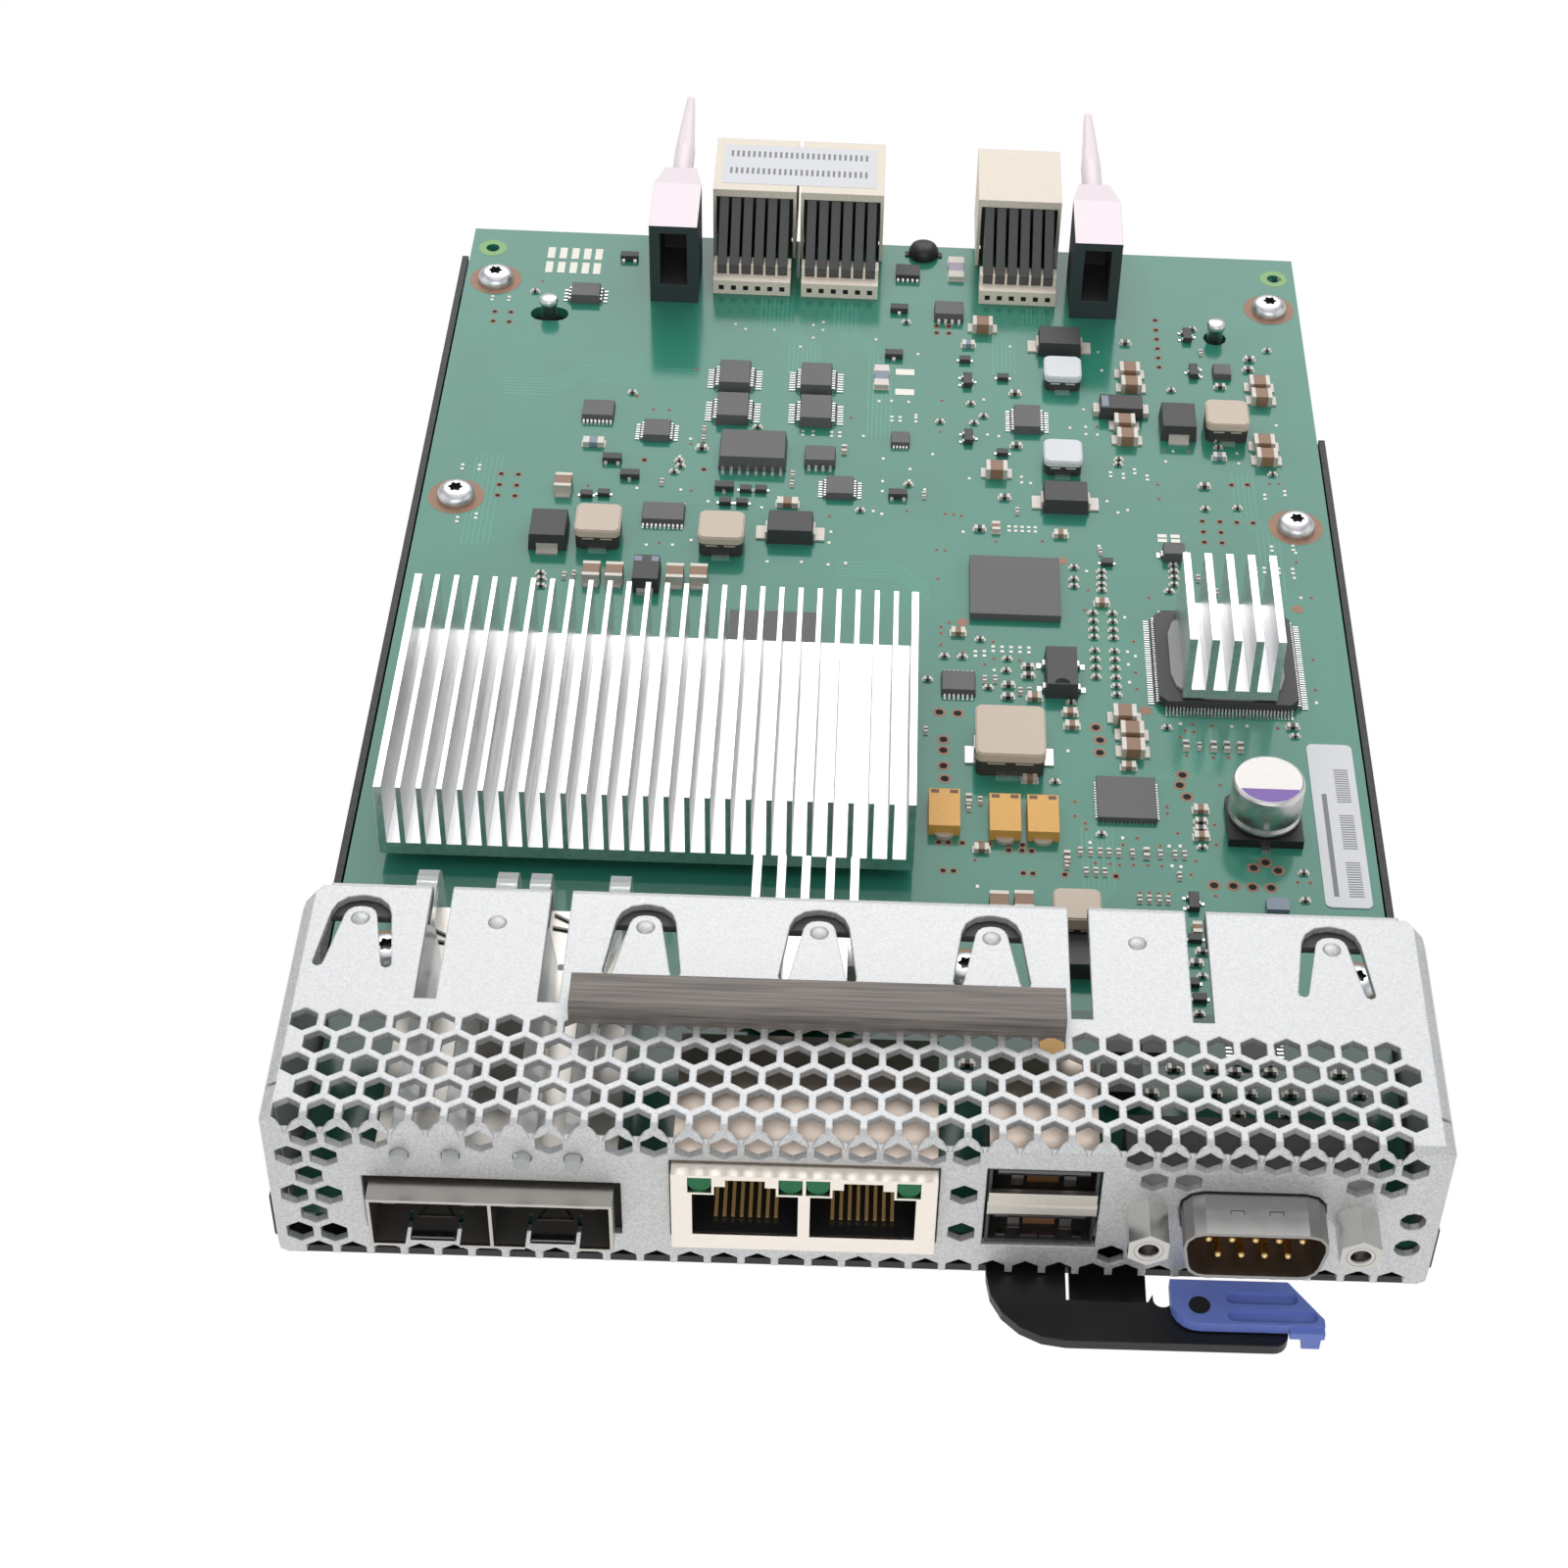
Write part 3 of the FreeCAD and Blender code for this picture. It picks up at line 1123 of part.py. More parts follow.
def small_heatsink(x, y):
    return heatsink(x - SMALL_SINK_WIDTH / 2, y - SMALL_SINK_DEPTH / 2, SMALL_SINK_WIDTH,
                    SMALL_SINK_DEPTH, BOARD_TOP + QUAD_HEIGHT + GLUE_HEIGHT, SMALL_SINK_BASE,
                    SMALL_SINK_HEIGHT, SMALL_SINK_FINS, SMALL_FIN, SMALL_FIN)


def glue_pad(x, y):
    """Thermal adhesive squeezed out round the heatsink's foot."""
    bottom = BOARD_TOP + QUAD_HEIGHT
    return soft_block(x, y, SMALL_SINK_WIDTH + 2 * GLUE_BORDER, SMALL_SINK_DEPTH - 2 * GLUE_SHY, bottom,
                      bottom + GLUE_HEIGHT, GLUE_ROUND, ROUND_STEPS)


def quad_chip():
    top = BOARD_TOP + QUAD_HEIGHT
    return soft_block(QUAD_X, QUAD_Y, QUAD_SIDE, QUAD_SIDE, BOARD_TOP, top, QUAD_CORNER, 1)


def port_chip():
    return block(PORT_CHIP_X, PORT_CHIP_Y, PORT_CHIP_SIDE, PORT_CHIP_SIDE, BOARD_TOP, BOARD_TOP + QUAD_HEIGHT)


# Guide modules and backplane connectors
def guide_module(x):
    """Cast guide block with a pocket in its face, a tapered nose and a guide pin."""
    front = BOARD_REAR - GUIDE_FRONT_INSET
    rear = BOARD_REAR + GUIDE_OVERHANG
    bend = rear - GUIDE_TAPER
    top = BOARD_TOP + GUIDE_HEIGHT
    half = GUIDE_WIDTH / 2
    nose_half = GUIDE_NOSE_WIDTH / 2
    plan = [(x - half, front), (x + half, front), (x + half, bend), (x + nose_half, rear),
            (x - nose_half, rear), (x - half, bend)]
    side = [(front, BOARD_TOP), (rear, BOARD_TOP), (rear, top - GUIDE_NOSE_DROP), (bend, top), (front, top)]
    body = sweep_z(plan, BOARD_TOP, top).common(sweep_x(side, x - half, x + half))
    pocket_low = BOARD_TOP + GUIDE_POCKET_RISE
    pocket = box(x - GUIDE_POCKET_WIDTH / 2, x + GUIDE_POCKET_WIDTH / 2, front - 1,
                 front + GUIDE_POCKET_DEPTH, pocket_low, pocket_low + GUIDE_POCKET_HEIGHT)
    pin_z = BOARD_TOP + GUIDE_PIN_RISE
    straight = bar(x, pin_z, GUIDE_PIN_RADIUS, rear - 1, rear + GUIDE_PIN_STRAIGHT)
    point = tapered_bar(x, pin_z, GUIDE_PIN_RADIUS, GUIDE_PIN_TIP_RADIUS, rear + GUIDE_PIN_STRAIGHT,
                        rear + GUIDE_PIN_LENGTH)
    return body.cut(pocket).fuse([straight, point]).removeSplitter()


def tapered_bar(x, z, radius0, radius1, y0, y1):
    """Point of a pin, as a many-sided taper."""
    rings = []
    for radius, y in ((radius0, y0), (radius1, y1)):
        turns = [2 * math.pi * (k + 0.5) / MANY_SIDES for k in range(MANY_SIDES)]
        ring = [V(x + radius * math.cos(t), y, z + radius * math.sin(t)) for t in turns]
        rings.append(Part.makePolygon(ring + [ring[0]]))
    return Part.makeLoft(rings, True, True)


def link_front():
    return BOARD_REAR - LINK_FRONT_INSET


def wafer_centres(x):
    return [x + (k - (LINK_WAFERS - 1) / 2) * LINK_WAFER_PITCH for k in range(LINK_WAFERS)]


def link_base(x):
    """Organiser at the connector's foot: a bar with a comb of teeth."""
    y0 = link_front()
    y1 = y0 + LINK_BASE_DEPTH
    half = LINK_WIDTH / 2
    foot = box(x - half, x + half, y0, y1, BOARD_TOP, BOARD_TOP + LINK_BASE_HEIGHT + LINK_TOOTH_HEIGHT)
    step = box(x - half - 1, x + half + 1, y0 - 1, y1 - LINK_TOOTH_DEPTH, BOARD_TOP + LINK_BASE_HEIGHT,
               BOARD_TOP + LINK_BASE_HEIGHT + 2 * LINK_TOOTH_HEIGHT)
    cuts = [step]
    for centre in wafer_centres(x):
        cuts.append(block(centre, y1, LINK_WAFER_THICKNESS + 2 * LINK_SLACK, 2 * LINK_TOOTH_DEPTH + 0.1,
                          BOARD_TOP + LINK_BASE_HEIGHT, BOARD_TOP + LINK_BASE_HEIGHT + 2 * LINK_TOOTH_HEIGHT))
    return foot.cut(cuts).removeSplitter()


def link_wafer(centre):
    """Thin upright wafer with a slanted front edge, from the organiser up into the housing."""
    x = centre - LINK_WAFER_THICKNESS / 2
    y0 = link_front() + LINK_BASE_DEPTH - LINK_TOOTH_DEPTH + LINK_SLACK
    low = BOARD_TOP + LINK_BASE_HEIGHT
    y1 = BOARD_REAR - LINK_HOUSING_INSET
    top = BOARD_TOP + LINK_HEIGHT - LINK_HOUSING_DROP
    side = [(x, y0, low), (x, y0, low + LINK_TOOTH_HEIGHT), (x, y1, top), (x, y1 + LINK_TAIL_DEPTH, top),
            (x, y1 + LINK_TAIL_DEPTH, low)]
    return prism(side, (LINK_WAFER_THICKNESS, 0, 0))


def link_housing(x):
    """Ivory shroud over the wafers' rear ends, with a closed face towards the backplane."""
    y0 = BOARD_REAR - LINK_HOUSING_INSET
    half = LINK_WIDTH / 2 + LINK_HOUSING_WALL / 2
    top = BOARD_TOP + LINK_HEIGHT
    low = BOARD_TOP + LINK_SLACK
    shroud = box(x - half, x + half, y0, y0 + LINK_HOUSING_DEPTH, low, top)
    inside = half - LINK_HOUSING_WALL / 2
    wafer_room = box(x - inside, x + inside, y0 - 1, y0 + LINK_TAIL_DEPTH + LINK_SLACK, low - 1,
                     top - LINK_HOUSING_DROP + LINK_SLACK)
    return shroud.cut(wafer_room).removeSplitter()


# Packages soldered on the board
def package(place, size):
    return block(place[0], place[1], size[0], size[1], BOARD_TOP, BOARD_TOP + size[2])


def moulded_package(x, y, width, depth, height):
    """Moulded body whose sides lean in towards the top."""
    lean = min(width, depth) * 0.04
    rings = []
    for inset, z in ((0, BOARD_TOP), (lean, BOARD_TOP + height)):
        half_w = width / 2 - inset
        half_d = depth / 2 - inset
        corners = [V(x - half_w, y - half_d, z), V(x + half_w, y - half_d, z), V(x + half_w, y + half_d, z),
                   V(x - half_w, y + half_d, z)]
        rings.append(Part.makePolygon(corners + [corners[0]]))
    return Part.makeLoft(rings, True, True)


def capacitor_can():
    return post(CAN_X, CAN_Y, CAN_RADIUS, BOARD_TOP + CAN_BASE_HEIGHT, BOARD_TOP + CAN_HEIGHT)


def capacitor_base():
    """Square seat with two cut corners."""
    half = CAN_BASE_SIDE / 2
    cut = CAN_BASE_CHAMFER * math.tan(math.radians(67.5))
    corners = [(CAN_X - half, CAN_Y - half, cut), (CAN_X + half, CAN_Y - half, cut),
               (CAN_X + half, CAN_Y + half, 0), (CAN_X - half, CAN_Y + half, 0)]
    return sweep_z(soften(corners, 1), BOARD_TOP, BOARD_TOP + CAN_BASE_HEIGHT)


def rounded_package(x, y, size, radius):
    return soft_block(x, y, size[0], size[1], BOARD_TOP, BOARD_TOP + size[2], radius, BEND_STEPS)


def rounded_packages(places, size, radius):
    return group([rounded_package(x, y, size, radius) for x, y in places])


def small_chips():
    chips = [moulded_package(*chip) for chip in SMALL_CHIPS]
    chips += [moulded_package(x, y, *BRIDGE_SIZE) for x, y in BRIDGE_PLACES]
    return group(chips + [moulded_package(*WIDE_CHIP)])


def diodes():
    flat = [moulded_package(x, y, *DIODE_SIZE) for x, y in DIODE_PLACES]
    upright = [moulded_package(x, y, *UPRIGHT_DIODE_SIZE) for x, y in UPRIGHT_DIODE_PLACES]
    return group(flat + upright)


def ceramic_capacitors():
    wide = [package(place, WIDE_CERAMIC_SIZE) for place in WIDE_CERAMIC_PLACES]
    tall = [package(place, TALL_CERAMIC_SIZE) for place in TALL_CERAMIC_PLACES]
    return group(wide + tall)


def board_label():
    return rounded_package(LABEL_X, LABEL_Y, (LABEL_WIDTH, LABEL_LENGTH, LABEL_THICKNESS), LABEL_ROUND)


# Ejector lever
def lever():
    """Flat steel lever: an eye round the pivot, an arm and a handle across the front."""
    front = -LEVER_REACH
    notch_radius = (NOTCH_RIGHT - NOTCH_LEFT) * 0.49
    corners = [
        (ARM_LEFT, PIVOT_Y, 0),
        (ARM_LEFT, front, LEVER_CURVE),
        (LEVER_END, front, LEVER_END_ROUND),
        (LEVER_END, HANDLE_REAR, 0),
        (NOTCH_RIGHT, HANDLE_REAR, 0),
        (NOTCH_RIGHT, NOTCH_END, notch_radius),
        (NOTCH_LEFT, NOTCH_END, notch_radius),
        (NOTCH_LEFT, RECESS_Y + 2 * TAB_GAP, 0),
        (NOTCH_LEFT - TAB_GAP, RECESS_Y, 0),
        (ARM_RIGHT, RECESS_Y, 0),
        (ARM_RIGHT, PIVOT_Y, 0),
    ]
    blade = sweep_z(soften(corners, CURVE_STEPS), LEVER_BOTTOM, LEVER_TOP)
    eye = many_sided(PIVOT_X, PIVOT_Y, LEVER_EYE_RADIUS, LEVER_BOTTOM, LEVER_TOP, MANY_SIDES)
    bore = post(PIVOT_X, PIVOT_Y, PIVOT_RADIUS + PIVOT_GAP, LEVER_BOTTOM - 1, LEVER_TOP + 1)
    return blade.fuse(eye).cut(bore).removeSplitter()


def lever_pivot():
    """Shoulder rivet on the tray floor, with a head over the lever's eye."""
    head_z = LEVER_TOP + PIVOT_HEAD_GAP
    shank = post(PIVOT_X, PIVOT_Y, PIVOT_RADIUS, TRAY_FLOOR, head_z)
    head = many_sided(PIVOT_X, PIVOT_Y, PIVOT_HEAD_RADIUS, head_z, head_z + PIVOT_HEAD_HEIGHT, MANY_SIDES)
    return shank.fuse(head).removeSplitter()


def latch():
    """Moulded thumb latch with two grip grooves and a hook round the end of the lever."""
    z = LEVER_TOP + LATCH_GAP
    top = z + LATCH_THICKNESS
    corners = [(LATCH_LEFT, LATCH_REAR, 0), (LATCH_LEFT, LATCH_FRONT, LATCH_ROUND),
               (LATCH_RIGHT, LATCH_FRONT, 0), (LATCH_RIGHT, LATCH_REAR - LATCH_SLANT_Y, 0),
               (LATCH_RIGHT - LATCH_SLANT_X, LATCH_REAR, 0)]
    plate = sweep_z(soften(corners, CURVE_STEPS), z, top)
    hook_x = LEVER_END + LATCH_HOOK_GAP
    root = box(LATCH_RIGHT - LATCH_HOOK_ROOT, LATCH_RIGHT, LATCH_HOOK_FRONT, LATCH_FRONT, z,
               top - GROOVE_DEPTH)
    hook = box(hook_x, hook_x + LATCH_HOOK_WIDTH, LATCH_HOOK_FRONT, LATCH_FRONT + 2, LEVER_BOTTOM, z + 0.5)
    cuts = [post(LATCH_PIN_X, LATCH_PIN_Y, LATCH_PIN_RADIUS + PIVOT_GAP, z - 1, top + 1)]
    for y, right in GROOVE_ROWS:
        cuts.append(soft_block((GROOVE_LEFT + right) / 2, y, right - GROOVE_LEFT, GROOVE_WIDTH,
                               top - GROOVE_DEPTH, top + 1, GROOVE_WIDTH * 0.49, ROUND_STEPS))
    return plate.fuse([root, hook]).cut(cuts).removeSplitter()


def latch_pin():
    """Pin riveted to the lever, on which the latch turns."""
    top = LEVER_TOP + LATCH_GAP + LATCH_THICKNESS
    return post(LATCH_PIN_X, LATCH_PIN_Y, LATCH_PIN_RADIUS, LEVER_TOP, top)


os.makedirs("parts", exist_ok=True)

save("faceplate", faceplate())
save("tray", tray())
save("circuit_board", circuit_board())
save("board_standoffs", group([standoff(x, y) for x, y in screw_places()]))
save("board_screws", group([board_screw(x, y) for x, y in screw_places()]))
save("tray_studs", group([tray_stud(x, y) for x, y in stud_places()]))
save("emi_gasket", emi_gasket())

save("sfp_cage", sfp_cage())
save("sfp_seal", sfp_seal())
save("sfp_sockets", group([sfp_socket(x) for x in cage_port_centres()]))
save("light_pipes", group([light_pipe(a, b) for a, b in zip(pipe_front_places(), pipe_rear_places())]))
save("indicator_lamps", group([indicator_lamp(x) for x in pipe_rear_places()]))

save("rj45_shield", rj45_shield())
save("rj45_housing", rj45_housing())
save("rj45_contacts", rj45_contacts())
save("rj45_lamps", group([rj45_lamp(x) for x in jack_lamp_places()]))

save("usb_shell", usb_shell())
save("usb_tongues", usb_tongues())
save("usb_contacts", usb_contacts())

save("serial_shell", serial_shell())
save("serial_insulator", serial_insulator())
save("serial_pins", group([serial_pin(x, z) for x, z in serial_pin_places()]))
save("serial_jack_nuts", group([jack_nut(x) for x in nut_places()]))

save("large_heatsink", large_heatsink())
save("main_chip", main_chip())
save("small_heatsink", small_heatsink(QUAD_X, QUAD_Y))
save("small_heatsink_adhesive", glue_pad(QUAD_X, QUAD_Y))
save("quad_flat_chip", quad_chip())
save("port_heatsink", small_heatsink(PORT_CHIP_X, PORT_CHIP_Y))
save("port_heatsink_adhesive", glue_pad(PORT_CHIP_X, PORT_CHIP_Y))
save("port_chip", port_chip())

for name, x in zip(("guide_module_left", "guide_module_right"), GUIDE_PLACES):
    save(name, guide_module(x))
save("backplane_organisers", group([link_base(x) for x in LINK_PLACES]))
save("backplane_wafers", group([link_wafer(c) for x in LINK_PLACES for c in wafer_centres(x)]))
save("backplane_housings", group([link_housing(x) for x in LINK_PLACES]))

save("capacitor_can", capacitor_can())
save("capacitor_base", capacitor_base())
save("ball_grid_chip", block(*BALL_CHIP[:4], BOARD_TOP, BOARD_TOP + BALL_CHIP[4]))
save("flat_no_lead_chip", block(*FLAT_CHIP[:4], BOARD_TOP, BOARD_TOP + FLAT_CHIP[4]))
save("rear_chip", block(*REAR_CHIP[:4], BOARD_TOP, BOARD_TOP + REAR_CHIP[4]))
save("isolator", moulded_package(*ISOLATOR))
save("large_choke", rounded_package(*BIG_CHOKE[:2], BIG_CHOKE[2:], CHOKE_ROUND))
chokes = [rounded_package(*place, CHOKE_SIZE, CHOKE_ROUND) for place in CHOKE_PLACES]
chokes.append(rounded_package(*FRONT_CHOKE[:2], FRONT_CHOKE[2:], CHOKE_ROUND))
save("power_chokes", group(chokes))
save("white_chokes", rounded_packages(WHITE_CHOKE_PLACES, WHITE_CHOKE_SIZE, WHITE_CHOKE_ROUND))
save("power_diodes", diodes())
save("tantalum_capacitors", group([package(place, TANTALUM_SIZE) for place in TANTALUM_PLACES]))
save("dark_tantalums", group([moulded_package(*size) for size in DARK_TANTALUMS]))
save("ceramic_capacitors", ceramic_capacitors())
save("small_chips", small_chips())
save("board_label", board_label())

save("lever", lever())
save("lever_pivot", lever_pivot())
save("latch", latch())
save("latch_pin", latch_pin())
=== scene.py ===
import math

import bpy
from bpy.props import FloatProperty, FloatVectorProperty, PointerProperty
from mathutils import Euler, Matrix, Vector


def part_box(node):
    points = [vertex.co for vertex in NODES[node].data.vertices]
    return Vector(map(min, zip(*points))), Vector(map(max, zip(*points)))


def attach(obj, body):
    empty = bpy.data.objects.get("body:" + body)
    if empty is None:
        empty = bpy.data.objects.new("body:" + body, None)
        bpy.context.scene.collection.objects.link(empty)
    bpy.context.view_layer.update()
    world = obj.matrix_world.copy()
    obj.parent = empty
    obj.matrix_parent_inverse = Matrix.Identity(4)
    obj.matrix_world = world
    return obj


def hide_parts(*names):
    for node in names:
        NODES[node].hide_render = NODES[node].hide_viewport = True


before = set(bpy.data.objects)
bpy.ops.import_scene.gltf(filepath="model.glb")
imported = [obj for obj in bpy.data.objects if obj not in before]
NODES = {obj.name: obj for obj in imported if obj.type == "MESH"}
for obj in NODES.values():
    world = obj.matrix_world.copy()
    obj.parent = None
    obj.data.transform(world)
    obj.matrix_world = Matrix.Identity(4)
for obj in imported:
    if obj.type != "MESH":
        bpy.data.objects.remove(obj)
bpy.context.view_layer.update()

bl_info = {
    "name": "Ethernet adapter card",
    "version": (1, 0, 0),
    "blender": (4, 5, 0),
    "location": "View3D > Sidebar > Card",
    "description": "Finishes and small parts for a server ethernet adapter card",
    "category": "Object",
}

# Small parts are placed in millimetres. X is the frame's own, Y starts at the faceplate's front
# and Z starts at the tray's underside.
MM = 1000
FRONT_Y = -0.104


# Geometry helpers
def to_frame(point):
    return (point[0] / MM, point[1] / MM + FRONT_Y, point[2] / MM)


def node_box(name):
    """Lowest and highest corner of a CAD node in the millimetre layout."""
    low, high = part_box(name)
    return ([low.x * MM, (low.y - FRONT_Y) * MM, low.z * MM],
            [high.x * MM, (high.y - FRONT_Y) * MM, high.z * MM])


BOARD_TOP = node_box("circuit_board")[1][2]
PLATE_TOP = node_box("faceplate")[1][2]
LEAD_THICKNESS = 0.16
LEAD_TUCK = 0.2
STAR_LOBES = 6


def circle(x, y, radius, sides):
    turns = [2 * math.pi * k / sides for k in range(sides)]
    return [(x + radius * math.cos(t), y + radius * math.sin(t)) for t in turns]


def arc(x, y, reach_x, reach_y, steps):
    """Half an ellipse, from its +X end round to its -X end."""
    turns = [math.pi * k / steps for k in range(steps + 1)]
    return [(x + reach_x * math.cos(t), y + reach_y * math.sin(t)) for t in turns]


def rounded(x, y, width, depth, corner):
    """Outline of a rectangle with round corners."""
    outline = []
    for right, back, quarter in ((1, 1, 0), (-1, 1, 1), (-1, -1, 2), (1, -1, 3)):
        for step in range(7):
            turn = math.pi / 2 * (quarter + step / 6)
            outline.append((x + right * (width / 2 - corner) + corner * math.cos(turn),
                            y + back * (depth / 2 - corner) + corner * math.sin(turn)))
    return outline


def upright(low, high):
    """Placing rule for Shape.sweep: an outline raised from low to high."""
    return lambda point, end: (point[0], point[1], high if end else low)


def along_y(x, z):
    """Placing rule for Shape.lathe: an axis along Y."""
    return lambda a, b, height: (x + b, height, z + a)


class Shape:
    """Collects simple solids for one piece, with heights above a base."""

    def __init__(self, base=0):
        self.base = base
        self.points = []
        self.faces = []
        self.finish = []
        self.smooth = []

    def add(self, points, faces, finish=0, smooth=False):
        base = len(self.points)
        self.points += [to_frame((x, y, z + self.base)) for x, y, z in points]
        for face in faces:
            self.faces.append([base + k for k in face])
            self.finish.append(finish)
            self.smooth.append(smooth)

    def box(self, x0, x1, y0, y1, z0, z1, finish=0):
        points = [(x, y, z) for z in (z0, z1) for y in (y0, y1) for x in (x0, x1)]
        faces = [(0, 2, 3, 1), (4, 5, 7, 6), (0, 1, 5, 4), (2, 6, 7, 3), (0, 4, 6, 2), (1, 3, 7, 5)]
        self.add(points, faces, finish)

    def block(self, x, y, width, depth, z0, z1, finish=0):
        self.box(x - width / 2, x + width / 2, y - depth / 2, y + depth / 2, z0, z1, finish)

    def both_ends(self, x, y, across, offset, length, width, z0, z1, finish=0):
        """A block at each end of a part, which lies along X if it lies across the board."""
        for side in (-1, 1):
            if across:
                self.block(x + side * offset, y, length, width, z0, z1, finish)
            else:
                self.block(x, y + side * offset, width, length, z0, z1, finish)

    def sweep(self, outline, place, finish=0):
        """Solid between two copies of an outline; place(point, end) gives each corner."""
        count = len(outline)
        points = [place(p, 0) for p in outline] + [place(p, 1) for p in outline]
        self.add(points, [tuple(range(count))[::-1], tuple(range(count, 2 * count))], finish)
        after = [(k + 1) % count for k in range(count)]
        self.add(points, [(k, n, n + count, k + count) for k, n in enumerate(after)], finish)

    def lathe(self, x, y, profile, sides, finish=0, place=None, caps="both"):
        """Round solid from (radius, height) steps about an upright axis, or the axis that place
        gives; a third value in a step is the depth of a star's lobes."""
        if place is None:
            def place(a, b, h):
                return (x + a, y + b, h)
        points = []
        for radius, height, *lobes in profile:
            for k in range(sides):
                turn = 2 * math.pi * k / sides
                reach = radius * (1 + lobes[0] * math.cos(STAR_LOBES * turn)) if lobes else radius
                points.append(place(reach * math.cos(turn), reach * math.sin(turn), height))
        rings = len(profile)
        faces = []
        for ring in range(rings - 1):
            for k in range(sides):
                after = (k + 1) % sides
                faces.append((ring * sides + k, ring * sides + after, (ring + 1) * sides + after,
                              (ring + 1) * sides + k))
        self.add(points, faces, finish, True)
        if caps in ("both", "start"):
            self.add(points, [tuple(range(sides))[::-1]], finish)
        if caps in ("both", "end"):
            self.add(points, [tuple(range((rings - 1) * sides, rings * sides))], finish)

    def ring(self, x, y, inner, outer, z, sides=24, finish=0):
        """Flat ring on the board."""
        points = [(a, b, z) for radius in (inner, outer) for a, b in circle(x, y, radius, sides)]
        faces = [(k, k + sides, (k + 1) % sides + sides, (k + 1) % sides) for k in range(sides)]
        self.add(points, faces, finish)

    def disc(self, x, y, radius, z, sides=20, finish=0):
        self.add([(a, b, z) for a, b in circle(x, y, radius, sides)], [tuple(range(sides))], finish)

    def lead(self, x, y, direction, width, reach, height, finish=0):
        """Gull-wing lead from a body's side at (x, y) down to a foot on the board."""
        dx, dy = direction
        thick = min(LEAD_THICKNESS, width * 0.7)
        knee = reach * 0.25
        drop = reach * 0.45
        path = [(-LEAD_TUCK, height), (knee, height), (drop, thick), (reach, thick), (reach, 0),
                (drop - thick, 0), (knee - thick, height - thick), (-LEAD_TUCK, height - thick)]

        def place(p, end):
            across = (end - 0.5) * width
            return (x + dx * p[0] - dy * across, y + dy * p[0] + dx * across, p[1])
        self.sweep(path, place, finish)

    def lead_row(self, body, direction, count, pitch, lead, finish=0):
        """Row of leads along one side of a body; a lead is its width, reach and height."""
        x, y, width, depth = body
        dx, dy = direction
        for k in range(count):
            shift = (k - (count - 1) / 2) * pitch
            self.lead(x + dx * width / 2 + abs(dy) * shift, y + dy * depth / 2 + abs(dx) * shift,
                      direction, *lead, finish)


def piece(name, shape, finishes, body="card", slot=None, replaces=()):
    """Make one named piece that rides on a CAD body; its finishes go by name."""
    mesh = bpy.data.meshes.new(name)
    mesh.from_pydata(shape.points, [], shape.faces)
    for item in finishes:
        mesh.materials.append(FINISHES[item])
    mesh.polygons.foreach_set("material_index", shape.finish)
    mesh.polygons.foreach_set("use_smooth", shape.smooth)
    mesh.update()
    made = bpy.data.objects.new(name, mesh)
    bpy.context.scene.collection.objects.link(made)
    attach(made, body)
    if replaces:
        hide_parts(*replaces)


# Material helpers
NOISE_DETAIL = 2.0
NOISE_RANGE = (0.3, 0.7)
BUMP_STRENGTH = 0.5
EDGE_SAMPLES = 4


def socket(node, name, value):
    node.inputs[name].default_value = value


def new_material(name, colour, metallic, roughness, specular=0.5):
    item = bpy.data.materials.new(name)
    item.use_nodes = True
    shader = item.node_tree.nodes["Principled BSDF"]
    socket(shader, "Base Color", (*colour, 1))
    socket(shader, "Metallic", metallic)
    socket(shader, "Roughness", roughness)
    socket(shader, "Specular IOR Level", specular)
    return item, item.node_tree, shader


def connect(tree, entry, value):
    """Give an input a constant or another node's output."""
    if isinstance(value, bpy.types.NodeSocket):
        tree.links.new(value, entry)
    else:
        entry.default_value = value


def add_node(tree, kind, entries, **settings):
    """Add a shader node; entries gives its inputs by name or number."""
    node = tree.nodes.new("ShaderNode" + kind)
    for key, value in settings.items():
        setattr(node, key, value)
    for key, value in entries.items():
        connect(tree, node.inputs[key], value)
    return node


def noise(tree, scale, stretch):
    """Noise in the frame's own coordinates, one unit to the millimetre, stretched along an axis."""
    place = add_node(tree, "TexCoord", {}).outputs["Object"]
    scaled = add_node(tree, "Mapping", {"Vector": place, "Scale": [MM * s for s in stretch]})
    return add_node(tree, "TexNoise", {"Vector": scaled.outputs["Vector"], "Scale": scale,
                                       "Detail": NOISE_DETAIL}).outputs[0]


def spread(tree, source, low, high):
    """Map a grey texture output to a range."""
    first, last = NOISE_RANGE
    return add_node(tree, "MapRange", {"Value": source, "From Min": first, "From Max": last,
                                       "To Min": low, "To Max": high}).outputs["Result"]


def blend_colours(tree, factor, *colours):
    """Mix two colours, each a constant or another node's output."""
    node = add_node(tree, "Mix", {"Factor": factor}, data_type="RGBA")
    entries = [entry for entry in node.inputs if entry.type == "RGBA"]
    for entry, colour in zip(entries, colours):
        connect(tree, entry, (*colour, 1) if isinstance(colour, tuple) else colour)
    return [out for out in node.outputs if out.type == "RGBA"][0]


